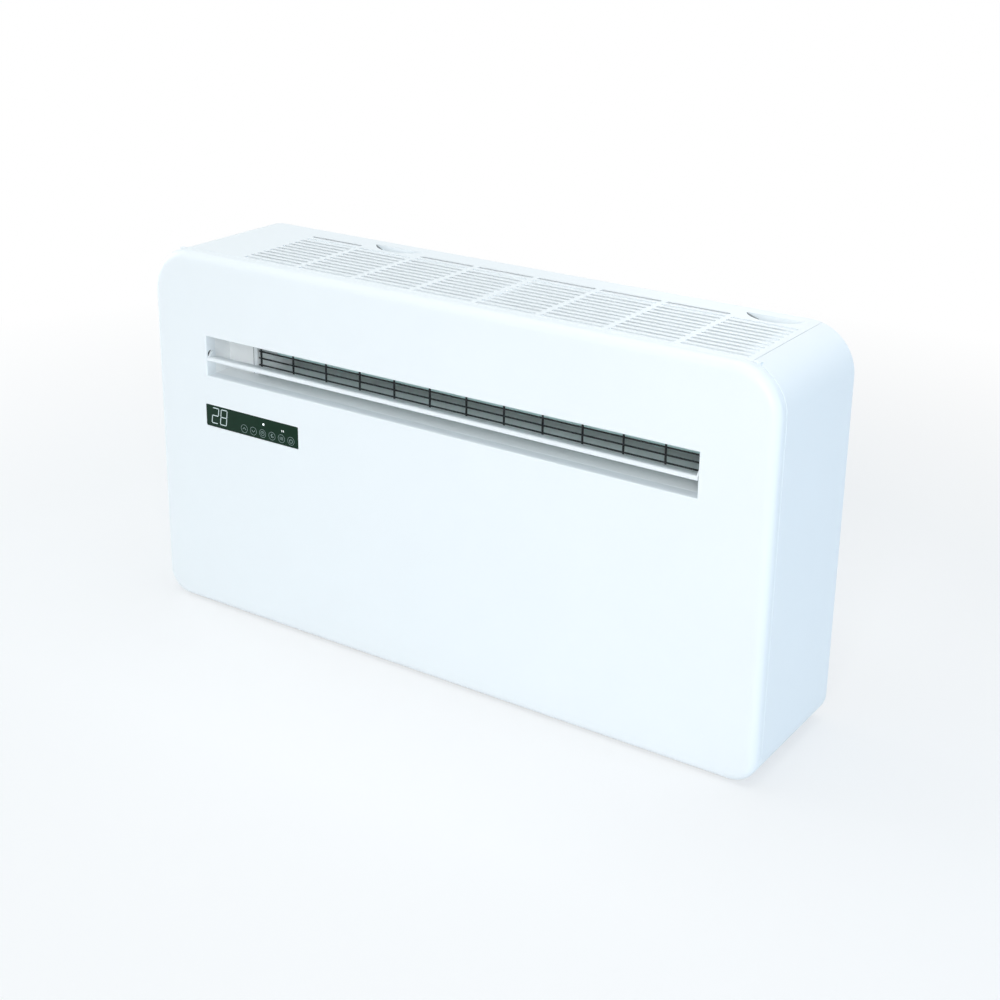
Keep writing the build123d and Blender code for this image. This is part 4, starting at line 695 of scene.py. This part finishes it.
@dataclass
class Casing:
    """The shell: front panel, side panels, base pan, rear plate, its screws and duct seals."""

    paints: Paints
    plate_back: float = 103.0
    screw_x: float = 491.0
    screw_levels: Triple = (110.0, 247.5, 385.0)
    head_radius: float = 4.0
    head_height: float = 1.7
    recess_radius: float = 2.5
    recess_depth: float = 1.2
    arm: float = 0.55
    wall_share: float = 0.2
    shank_radius: float = 1.7
    shank_length: float = 4.4
    duct_xs: Pair = (-175.0, 175.0)
    duct_level: float = 140.0
    seal_inner: float = 96.0
    seal_outer: float = 112.0
    seal_rise: float = 4.5
    seal_ease: float = 1.2

    def screw(self, x: float, z: float) -> Mesh:
        """A pan head screw on the rear plate with a cross recess, and its shank.

        The head stands height (1 - (r / R)^4)^(1/2) off the plate, less the recess, whose walls fall
        over a share of the arm's half width.

        Args:
            x: Its place across the plate.
            z: Its height.

        Returns:
            The points and the faces.
        """
        steps, rings = 72, 22
        share = np.linspace(0.012, 1.0, rings)[:, None] ** 0.8  # denser towards the rim
        angle = np.linspace(0.0, 2.0 * np.pi, steps, endpoint=False)[None, :]
        across, down = share * np.cos(angle), share * np.sin(angle)
        height = self.head_height * np.sqrt(np.clip(1.0 - share**4 * np.ones_like(angle), 0.0, None))
        wall = self.wall_share * self.arm / self.head_radius
        inside = self.arm / self.head_radius - np.minimum(np.abs(across), np.abs(down))
        reach = self.recess_radius / self.head_radius - share
        recess = np.clip(inside / wall, 0.0, 1.0) * np.clip(reach / (2.0 * wall), 0.0, 1.0)
        height = height - self.recess_depth * recess
        rows = np.stack([x + self.head_radius * across, self.plate_back + height,
                         z + self.head_radius * down], -1)
        shank = self.shank_radius / self.head_radius * rows[-1:]
        shank = shank + (1.0 - self.shank_radius / self.head_radius) * np.array([x, self.plate_back, z])
        end = shank - np.array([0.0, self.shank_length, 0.0])
        points = np.concatenate([rows, shank, end])
        faces = faces_of_grid(len(points), steps, False, True).tolist()
        ring = list(range(steps))
        faces.append(ring[::-1])
        faces.append([number + (len(points) - 1) * steps for number in ring])
        return points.reshape(-1, 3), faces

    def seal(self, x: float) -> Mesh:
        """A foam ring round one duct: a rounded rectangle turned about the duct's axis."""
        low, high, ease = self.plate_back, self.plate_back + self.seal_rise, self.seal_ease
        inner, outer, chamfer = self.seal_inner, self.seal_outer, 0.3 * self.seal_ease
        profile = np.array([
            [inner, low], [outer, low], [outer, high - ease], [outer - chamfer, high - chamfer],
            [outer - ease, high], [inner + ease, high], [inner + chamfer, high - chamfer],
            [inner, high - ease], [inner, low],
        ])
        return turned(profile, (x, self.duct_level), 96)

    def build(self) -> None:
        """Dresses the shell's nodes and sets the screws and the seals on the rear plate."""
        dress(self.paints.casing, "front_panel", "left_side_panel", "right_side_panel")
        dress(self.paints.zinc, "rear_plate", "base_pan", "partition_plate")
        heads = [self.screw(side * self.screw_x, z) for side in (-1, 1) for z in self.screw_levels]
        screws = mesh_piece("plate_screws", *join(heads))
        settle(screws, self.paints.screw, "screw_steel", "casing_screws")
        seals = mesh_piece("duct_seals", *join([self.seal(x) for x in self.duct_xs]))
        settle(seals, self.paints.foam, "mount_rubber")


@dataclass
class TopGrille:
    """The hinged top grille with its two filters under it, each a woven net in a frame."""

    paints: Paints
    scoop_xs: Pair = (-202.0, 396.0)
    scoop_y: float = 112.78
    scoop_radius: float = 47.78
    # The dark crescents on the scoops are painted shade of each scoop's inner wall.
    shade_arc_start: float = 212.0
    shade_arc_sweep: float = 42.0
    shade_arc_width: float = 5.0
    shade_arc_top: float = 549.9
    shade_arc_thickness: float = 0.6
    net_pitch: float = 2.4
    strand: float = 0.48
    weave: float = 0.17

    def net(self, node: str) -> Mesh:
        """A plain weave in a node's box: at each crossing one strand is up and the other down.

        A strand's middle is at weave times the cosine of pi times the crossing's number, and the
        strands across it are half a turn behind.

        Args:
            node: The node whose box it fills.

        Returns:
            The points and the faces.
        """
        low, high = (np.array(corner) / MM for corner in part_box(node))
        middle = (low[2] + high[2]) / 2.0
        count = ((high[:2] - low[:2]) / self.net_pitch).astype(int)
        xs = np.linspace(low[0], high[0], count[0])
        ys = np.linspace(low[1], high[1], count[1])
        sign = np.cos(np.pi * (np.arange(count[0])[:, None] + np.arange(count[1])[None, :]))
        grid = np.empty((count[0], count[1], 3))
        grid[..., 0], grid[..., 1], grid[..., 2] = xs[:, None], ys[None, :], middle + self.weave * sign
        under = grid.copy()
        under[..., 2] = middle - self.weave * sign
        section = round_section(self.strand, 4)
        lengthwise = carried(under.transpose(1, 0, 2), (0.0, 1.0, 0.0), (0.0, 0.0, 1.0), section)
        crosswise = carried(grid, (0.0, 0.0, 1.0), (1.0, 0.0, 0.0), section)
        return join([lengthwise, crosswise])

    def scoop_shade_arcs(self) -> bpy.types.Object:
        """A dark crescent at the front left of each finger scoop's rim: painted shade, where the scoop's
        inner wall lies in shadow.
        """
        parts = []
        for x in self.scoop_xs:
            flat, faces = crescent((x, self.scoop_y), self.scoop_radius - self.shade_arc_width / 2.0,
                                   self.shade_arc_width, self.shade_arc_start, self.shade_arc_sweep)
            level = np.full((len(flat), 1), self.shade_arc_top)
            parts.append((np.hstack([flat, level]), faces))
        return thicken(mesh_piece("scoop_painted_shade", *join(parts), None), self.shade_arc_thickness)

    def build(self) -> None:
        """Dresses the grille's nodes, sets the painted shade on its scoops and weaves the nets."""
        dress(self.paints.casing, "top_grille")
        # The scoops' dark crescents: painted shade, not a part of their own.
        settle(self.scoop_shade_arcs(), self.paints.painted_shade, "grille_plastic", body=Body.GRILLE)
        for side in ("left", "right"):
            dress(self.paints.inside, "filter_frame_" + side)
            net = mesh_piece("filter_net_" + side, *self.net("filter_mesh_" + side), 60.0)
            settle(net, self.paints.net, "filter_cloth", "filter_mesh_" + side, body=Body.GRILLE)


@dataclass
class Outlet:
    """The air outlet: its housing, wire guard, flap, fan, and the small things in its left recess."""

    paints: Paints
    left: float = -345.0
    right: float = 400.0
    jamb: float = -400.0
    guard_y: float = -60.0
    bar_margin: float = 6.4
    bar_pitch: float = 60.7
    bar_count: int = 13
    bar_low: float = 374.0
    bar_high: float = 436.4
    bar_radius: float = 1.5
    rod_radius: float = 1.2
    rod_levels: Triple = (383.5, 393.8, 404.1)
    rod_gap: float = 0.1
    strip_width: float = 6.4
    strip_rise: float = 1.6
    strip_ease: float = 0.5
    # The dark line beside the strip is painted shade of the open joint there.
    groove_shade_width: float = 1.8
    groove_shade_depth: float = 0.2
    groove_shade_gap: float = 0.1
    clearance: float = 0.4
    skin: float = 0.05
    floor: float = 369.2
    pivot: Pair = (-99.0, 399.0)
    # The dark crescent round the flap's pivot is painted shade of the opening in the jamb.
    pivot_shade_radius: float = 7.0
    pivot_shade_width: float = 2.6
    pivot_shade_start: float = 100.0
    pivot_shade_sweep: float = 100.0
    pivot_shade_skin: float = 0.1
    pivot_shade_proud: float = 0.12

    def guard(self) -> bpy.types.Object:
        """The guard: upright wires with three rods behind them."""
        starts = np.zeros((self.bar_count, 3))
        starts[:, 0] = self.left + self.bar_margin + self.bar_pitch * np.arange(self.bar_count)
        starts[:, 1], starts[:, 2] = self.guard_y, self.bar_low
        bars = wires(starts, Axis.Z, self.bar_high - self.bar_low, self.bar_radius)
        rod_y = self.guard_y + self.bar_radius
        rods = np.array([[self.left + self.rod_gap, rod_y, level] for level in self.rod_levels])
        length = self.right - self.left - 2.0 * self.rod_gap
        return mesh_piece("guard_wires", *join([bars, wires(rods, Axis.X, length, self.rod_radius)]))

    def divider_strip(self) -> bpy.types.Object:
        """The raised strip at the blank recess's right end."""
        low = [self.left - self.strip_width - self.clearance, self.guard_y - self.strip_rise, self.floor]
        high = [self.left - self.clearance, self.guard_y - self.skin, self.bar_high]
        piece = mesh_piece("divider_strip", *block(low, high), None)
        ease = piece.modifiers.new("ease", "BEVEL")
        ease.width, ease.segments = self.strip_ease * MM, 3
        return piece

    def painted_shade(self) -> bpy.types.Object:
        """Painted shade of the open joint left of the strip: a dark line laid on the recess's back."""
        edge = self.left - self.strip_width - self.clearance - self.groove_shade_gap
        front = self.guard_y - self.skin
        low = [edge - self.groove_shade_width, front - self.groove_shade_depth, self.floor]
        high = [edge, front, self.bar_high]
        return mesh_piece("divider_groove_shade", *block(low, high), None)

    def pivot_shade_crescent(self) -> bpy.types.Object:
        """A dark crescent on the left jamb round the flap's pivot: painted shade of the opening there."""
        flat, faces = crescent(self.pivot, self.pivot_shade_radius, self.pivot_shade_width, self.pivot_shade_start,
                               self.pivot_shade_sweep)
        across = np.full((len(flat), 1), self.jamb + self.pivot_shade_proud)
        return thicken(mesh_piece("pivot_shade_crescent", np.hstack([across, flat]), faces, None), self.pivot_shade_skin)

    def build(self) -> None:
        """Makes the guard and the recess's details and dresses the outlet's nodes."""
        settle(self.guard(), self.paints.guard, "guard_wire", "outlet_guard")
        settle(self.divider_strip(), self.paints.casing, "duct_plastic")
        # The joint's dark line: painted shade.
        settle(self.painted_shade(), self.paints.painted_shade, "duct_plastic")
        # The pivot's dark crescent: painted shade.
        settle(self.pivot_shade_crescent(), self.paints.dark, "bush_plastic")
        dress(self.paints.inside, "outlet_housing", "flap_bushes")
        dress(self.paints.casing, "flap")
        dress(self.paints.steel, "flap_motor", "cross_flow_motor")
        dress(self.paints.fan, "cross_flow_fan")
        dress(self.paints.rubber, "fan_bearing")


@dataclass(frozen=True)
class Coil:
    """A finned coil: thin rippled fins on straight tubes."""

    name: str
    node: str
    centre: Triple
    slope: float
    length: float
    thickness: float
    span: float
    pitch: float = 1.8
    fin: float = 0.26
    ripple: float = 0.3
    folds: int = 16
    tubes: int = 8
    tube_radius: float = 3.5

    def directions(self) -> tuple[np.ndarray, np.ndarray]:
        """The direction of the coil's span and the one through its thickness."""
        rise = radians(self.slope)
        return np.array([0.0, cos(rise), sin(rise)]), np.array([0.0, -sin(rise), cos(rise)])

    def fins(self) -> bpy.types.Object:
        """The fins: each is carried along the span and steps to and fro by the ripple at each fold."""
        span, through = self.directions()
        count = int(self.length / self.pitch)
        places = np.linspace(-0.5, 0.5, count) * (self.length - 2.0 * self.ripple - self.fin)
        steps = np.linspace(-0.5, 0.5, self.folds + 1)
        zigzag = self.ripple * np.where(np.arange(self.folds + 1) % 2, 1.0, -1.0)
        centre = np.array(self.centre) + steps[None, :, None] * self.span * span
        centre = centre + (places[:, None] + zigzag[None, :])[..., None] * np.array([1.0, 0.0, 0.0])
        half, wide = self.fin / 2.0, self.thickness / 2.0
        section = np.array([[[-wide, -half], [wide, -half], [wide, half], [-wide, half]]])
        points, faces = carried(centre, tuple(through), (1.0, 0.0, 0.0), section)
        return mesh_piece(self.name + "_fins", points, faces, None)

    def tube_run(self) -> bpy.types.Object:
        """The straight tubes, evenly spaced along the span."""
        span = self.directions()[0]
        places = (np.arange(self.tubes) + 0.5) / self.tubes - 0.5
        starts = np.array(self.centre) + places[:, None] * self.span * span
        starts[:, 0] -= self.length / 2.0
        return mesh_piece(self.name + "_tubes", *wires(starts, Axis.X, self.length, self.tube_radius))


@dataclass
class Cooling:
    """The refrigerant circuit and the air that crosses it."""

    paints: Paints
    evaporator: Coil = Coil("evaporator", "evaporator_coil", (25.25, 9.0, 492.0), 20.79, 755.5, 22.0, 169.0)
    condenser: Coil = Coil("condenser", "condenser_coil", (175.0, 65.0, 186.0), 90.0, 300.0, 26.0, 300.0)

    def build(self) -> None:
        """Makes the coils and dresses the circuit's nodes."""
        for coil in (self.evaporator, self.condenser):
            settle(coil.fins(), self.paints.fins, "fin_aluminium", coil.node)
            settle(coil.tube_run(), self.paints.copper, "copper_tube")
        dress(self.paints.zinc, "evaporator_end_plates", "condenser_end_plates")
        dress(self.paints.copper, "evaporator_bends", "condenser_bends", "discharge_pipe", "suction_pipe",
              "inlet_pipe", "liquid_pipe")
        dress(self.paints.inside, "drip_tray")
        dress(self.paints.dark, "intake_duct_ring", "exhaust_duct_ring", "condenser_fan_housing",
              "condenser_fan_wheel", "drain_spigot")
        dress(self.paints.steel, "condenser_fan_motor")
        dress(self.paints.rubber, "compressor_mounts")
        dress(self.paints.enamel, "compressor", "accumulator")


@dataclass
class Controls:
    """The control box and the mains lead's gland."""

    paints: Paints

    def build(self) -> None:
        """Dresses the controls' nodes."""
        dress(self.paints.zinc, "control_box", "control_box_lid")
        dress(self.paints.board, "control_board")
        dress(self.paints.inside, "terminal_block")
        dress(self.paints.dark, "display_board")
        dress(self.paints.rubber, "power_gland")


@dataclass
class Display:
    """The display window with its lit number, its touch signs and its lamps.

    Places on the window are measured from its upper left corner, to the right and down.
    """

    paints: Paints
    left: float = -405.0
    top: float = 325.5
    length: float = 176.0
    height: float = 33.5
    gap: float = 0.2
    face_y: float = -109.8
    relief: float = 0.12
    digit_size: Pair = (11.6, 23.4)
    digit_slant: float = 0.12
    digit_starts: Pair = (10.6, 27.0)
    digit_top: float = 4.0
    bar: float = 1.25
    bar_gap: float = 0.25
    pane_corner: float = 2.6
    pane_ease: float = 0.5
    pane_back: float = 2.6
    sign_starts: tuple[float, ...] = (73.7, 91.2, 108.8, 126.6, 144.4, 162.2)
    sign_level: float = 23.9
    sign_radius: float = 6.0
    ring_width: float = 0.55
    fine: float = 0.7
    medium: float = 0.8
    bold: float = 0.9
    lamp_spot: Pair = (110.9, 9.5)
    lamp_radius: float = 0.9
    lamp_width: float = 1.6
    tick_xs: Pair = (145.6, 148.4)
    tick_levels: Pair = (10.6, 13.4)

    def to_face(self, flat: np.ndarray, proud: float) -> np.ndarray:
        """Points of the window: to the right of its left edge, and down from its top edge."""
        y = np.full(len(flat), self.face_y - proud)
        return np.stack([self.left + flat[:, 0], y, self.top - flat[:, 1]], -1)

    def marks(self, name: str, parts: list[Mesh]) -> bpy.types.Object:
        """Makes flat marks on the window, each with a thin edge down to the glass."""
        flat, faces = join(parts)
        piece = mesh_piece(name, self.to_face(flat, self.relief / 2.0), faces, None)
        return thicken(piece, self.relief, 0.0)

    def window(self) -> bpy.types.Object:
        """The pane: rounded corners, and an edge that falls back in a quarter circle.

        The outline is set in by r (1 - cos t) while it comes forward by r sin t.
        """
        corner, ease, back = self.pane_corner, self.pane_ease, self.pane_back
        half_x = self.length / 2.0 - self.gap - corner
        half_z = self.height / 2.0 - self.gap - corner
        turns = np.radians(np.arange(0, 360, 10).reshape(4, 9))
        turns = np.hstack([turns, turns[:, -1:] + radians(10)])
        side = np.array([[1, 1], [-1, 1], [-1, -1], [1, -1]])
        fall = np.radians(np.linspace(0.0, 90.0, 5))
        set_in = np.array([0.0, *(ease * (1.0 - np.cos(fall)))])
        forward = np.array([-back, *(ease * np.sin(fall) - ease)])
        radius = corner - set_in[:, None, None]
        x = side[:, 0][None, :, None] * half_x + radius * np.cos(turns)[None]
        z = side[:, 1][None, :, None] * half_z + radius * np.sin(turns)[None]
        y = np.broadcast_to(self.face_y - forward[:, None, None], x.shape)
        points = np.stack([x + self.left + self.length / 2.0, y, z + self.top - self.height / 2.0], -1)
        rows, count = points.shape[0], points.shape[1] * points.shape[2]
        faces = faces_of_grid(rows, count, False, True).tolist()
        faces.append(list(range((rows - 1) * count, rows * count)))
        faces.append(list(range(count))[::-1])
        return mesh_piece("display_pane", points, [f[::-1] for f in faces])

    def digit(self, start: float, lit: str) -> list[Mesh]:
        """One seven-segment figure, leaning to the right.

        Args:
            start: Where its left edge is.
            lit: The letters of its lit bars, a for the top one and then clockwise, g across.

        Returns:
            The bars as six-cornered flat shapes.
        """
        width, height = self.digit_size
        half, gap = self.bar / 2.0, self.bar_gap
        ends = {
            "a": ((0, 0), (width, 0)), "b": ((width, 0), (width, height / 2)),
            "c": ((width, height / 2), (width, height)), "d": ((0, height), (width, height)),
            "e": ((0, height / 2), (0, height)), "f": ((0, 0), (0, height / 2)),
            "g": ((0, height / 2), (width, height / 2)),
        }
        parts = []
        for letter in lit:
            first, last = np.array(ends[letter], float)
            run = (last - first) / np.linalg.norm(last - first)
            side = np.array([-run[1], run[0]]) * half
            first, last = first + run * gap, last - run * gap
            corners = np.array([first, first + run * half - side, last - run * half - side, last,
                                last - run * half + side, first + run * half + side])
            corners[:, 0] += self.digit_slant * (height - corners[:, 1]) + start
            corners[:, 1] += self.digit_top
            parts.append((corners, [[0, 1, 2, 3, 4, 5]]))
        return parts

    def signs(self) -> list[Mesh]:
        """Six touch signs in thin rings: up, down, timer, fan, mode and power."""
        level = self.sign_level
        up, down, timer, fan, mode, power = self.sign_starts
        rings = [ring_path((start, level), self.sign_radius) for start in self.sign_starts]
        parts = [stroke(ring, self.ring_width, True) for ring in rings]
        for centre, way in ((up, -1.0), (down, 1.0)):
            peak = [[centre - 3.0, level - 1.2 * way], [centre, level + 1.6 * way],
                    [centre + 3.0, level - 1.2 * way]]
            parts.append(stroke(peak, 1.0, False))
        parts.append(stroke(ring_path((timer, level), 3.2), self.fine, True))
        hands = [[timer, level - 2.2], [timer, level], [timer + 1.6, level]]
        parts.append(stroke(hands, self.fine, False))
        for turn in (90.0, 210.0, 330.0):
            hub = (fan + 1.7 * cos(radians(turn)), level - 1.7 * sin(radians(turn)))
            parts.append(stroke(ring_path(hub, 1.2, turn, 250.0, 12), self.bold, False))
        for step in (-2.4, 0.0, 2.4):
            bar = [[mode + step, level + 2.4], [mode + step, level - 2.4]]
            parts.append(stroke(bar, self.bold, False))
        parts.append(stroke(ring_path((power, level + 0.3), 2.9, -60.0, 300.0, 18), self.medium, False))
        stem = [[power, level - 3.4], [power, level - 0.4]]
        parts.append(stroke(stem, self.medium, False))
        return parts

    def lamps(self) -> list[Mesh]:
        """The round lamp above the signs, and two short upright ones to its right."""
        high, low = self.tick_levels
        ticks = [stroke([[x, high], [x, low]], self.medium, False) for x in self.tick_xs]
        return [stroke(ring_path(self.lamp_spot, self.lamp_radius), self.lamp_width, True), *ticks]

    def build(self) -> None:
        """Makes the pane, the number, the signs and the lamps."""
        settle(self.window(), self.paints.window, "window_acrylic", "display_window")
        tens, ones = self.digit_starts
        number = self.digit(tens, "abged") + self.digit(ones, "abcdefg")
        for name, parts, finish in (("display_number", number, self.paints.digits),
                                    ("display_signs", self.signs(), self.paints.icons),
                                    ("display_lamps", self.lamps(), self.paints.lamp)):
            settle(self.marks(name, parts), finish, "window_acrylic")


# Stage, lights and camera


@dataclass(frozen=True)
class PhotoCamera:
    """The photograph's camera, fitted to the casing's edges.

    It looks at a target from an azimuth and an elevation, turned by a small roll. The focal length
    and the picture's centre are in pixels of a 1000 pixel wide picture.
    """

    azimuth: float = 33.66
    elevation: float = 19.02
    roll: float = 0.88
    distance: float = 2280.5
    target: Triple = (39.70, 0.0, 390.87)
    focal: float = 1669.2
    centre: Pair = (500.0, 400.0)
    picture: float = 1000.0
    sensor: float = 36.0

    def build(self) -> None:
        """Makes the camera and gives it to the scene."""
        a, e, r = radians(self.azimuth), radians(self.elevation), radians(self.roll)
        back = Vector((sin(a) * cos(e), -cos(a) * cos(e), sin(e)))
        right = Vector((cos(a), sin(a), 0.0))
        up = back.cross(right)
        turned_right = right * cos(r) + up * sin(r)
        turned_up = up * cos(r) - right * sin(r)
        lens = bpy.data.cameras.new("photo_camera")
        lens.sensor_fit = "HORIZONTAL"
        lens.sensor_width = self.sensor
        lens.lens = self.focal * self.sensor / self.picture
        lens.shift_x = (self.picture / 2.0 - self.centre[0]) / self.picture
        lens.shift_y = (self.centre[1] - self.picture / 2.0) / self.picture
        lens.clip_start, lens.clip_end = 0.05, 50.0
        camera = placed("photo_camera", lens)
        place = (Vector(self.target) + back * self.distance) * MM
        turn = Matrix((turned_right, turned_up, back)).transposed().to_4x4()
        camera.matrix_world = Matrix.Translation(place) @ turn
        bpy.context.scene.camera = camera


@dataclass(frozen=True)
class Lamp:
    """A square soft lamp that faces the casing's middle."""

    name: str
    place: Triple
    size: float
    power: float
    colour: Colour = (1.0, 1.0, 1.0)

    def build(self) -> None:
        """Makes the lamp."""
        light = bpy.data.lights.new(self.name, "AREA")
        light.energy = self.power
        light.size = self.size * MM
        light.color = self.colour
        spot = Vector(self.place) * MM
        aim = Vector((0.0, 0.0, LAMP_AIM * MM)) - spot
        turn = aim.to_track_quat("-Z", "Y").to_matrix().to_4x4()
        placed(self.name, light).matrix_world = Matrix.Translation(spot) @ turn


@dataclass(frozen=True)
class Studio:
    """A pale floor, a white surround and a soft lamp on every side."""

    floor_colour: Colour = (0.90, 0.91, 0.92)
    patch_colour: Colour = (0.88, 0.89, 0.90)
    patch_size: float = 900.0
    floor_size: float = 9000.0
    floor_level: float = -1.0
    rings: int = 11
    spokes: int = 64
    floor_white: float = 0.5
    clear_radius: float = 900.0
    fade_length: float = 1100.0
    ambient: float = 0.30
    ambient_colour: Colour = (0.88, 0.96, 1.0)
    lamps: tuple[Lamp, ...] = (
        Lamp("camera_lamp", (1900.0, -3300.0, 1750.0), 1800.0, 66.0),
        Lamp("front_lamp", (-1000.0, -3000.0, 900.0), 2000.0, 9.5),
        Lamp("top_lamp", (0.0, 0.0, 3000.0), 2400.0, 38.0, (0.95, 0.985, 1.0)),
        Lamp("right_lamp", (3000.0, -200.0, 700.0), 2000.0, 22.0, (0.42, 0.70, 1.0)),
        Lamp("left_lamp", (-3000.0, -200.0, 700.0), 2000.0, 38.0, (0.82, 0.93, 1.0)),
        Lamp("back_lamp", (0.0, 3000.0, 700.0), 2800.0, 24.0),
    )

    def seen_share(self, sheet: Sheet) -> Wire:
        """One for a ray from the camera, off a gloss or through glass, and nothing for a ray of light."""
        path = sheet.node("ShaderNodeLightPath")
        seen = sheet.maths("MAXIMUM", sheet.out(path, "Is Camera Ray"), sheet.out(path, "Is Glossy Ray"))
        return sheet.maths("MAXIMUM", seen, sheet.out(path, "Is Transmission Ray"))

    def floor(self) -> None:
        """The floor: a flat disc that shows nearly white, with the object's shadow on it."""
        radius = np.linspace(0.0, self.floor_size / 2.0, self.rings + 1)[1:]
        angle = np.linspace(0.0, 2.0 * np.pi, self.spokes, endpoint=False)[:, None]
        points = np.stack([radius * np.cos(angle), radius * np.sin(angle),
                           np.full((self.spokes, self.rings), self.floor_level)], -1)
        faces = faces_of_grid(self.spokes, self.rings, True, False).tolist()
        faces.append([spoke * self.rings for spoke in range(self.spokes)])
        piece = mesh_piece("floor", points, faces, None)
        sheet = Sheet("floor_white")
        white = sheet.node("ShaderNodeEmission", Color=(1.0, 1.0, 1.0), Strength=1.0)
        patches = sheet.blend(sheet.noise(self.patch_size), self.floor_colour, self.patch_colour)
        paint = sheet.node("ShaderNodeBsdfDiffuse", Color=patches)
        far = sheet.out(sheet.node("ShaderNodeVectorMath", {"operation": "LENGTH"}, s0=sheet.place()), 1)
        fade = sheet.over(far, self.clear_radius * MM, 1.0 / (self.fade_length * MM))
        share = (fade * (1.0 - self.floor_white) + self.floor_white) * self.seen_share(sheet)
        both = sheet.node("ShaderNodeMixShader", s0=share, s1=sheet.out(paint), s2=sheet.out(white))
        sheet.node("ShaderNodeOutputMaterial", Surface=sheet.out(both))
        piece.data.materials.append(sheet.owner)

    def surround(self) -> None:
        """The world: plain light, and white where a ray sees it directly or in a gloss."""
        sheet = Sheet("surround", world=True)
        bpy.context.scene.world = sheet.owner
        light = sheet.node("ShaderNodeBackground", Color=self.ambient_colour, Strength=self.ambient)
        white = sheet.node("ShaderNodeBackground", Color=(1.0, 1.0, 1.0), Strength=1.0)
        both = sheet.node("ShaderNodeMixShader", s0=self.seen_share(sheet), s1=sheet.out(light),
                          s2=sheet.out(white))
        sheet.node("ShaderNodeOutputWorld", Surface=sheet.out(both))

    def build(self) -> None:
        """Makes the floor, the surround and the lamps."""
        self.floor()
        self.surround()
        for lamp in self.lamps:
            lamp.build()
        bpy.context.scene.view_settings.view_transform = "Standard"


def main() -> None:
    """Builds the scene in order."""
    logging.basicConfig(level=logging.INFO, format="%(message)s")
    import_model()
    paints = Paints()
    for assembly in (Casing(paints), TopGrille(paints), Outlet(paints), Cooling(paints),
                     Controls(paints), Display(paints), PhotoCamera(), Studio()):
        assembly.build()
        log.info("built %s", type(assembly).__name__)


if __name__ == "__main__":
    main()
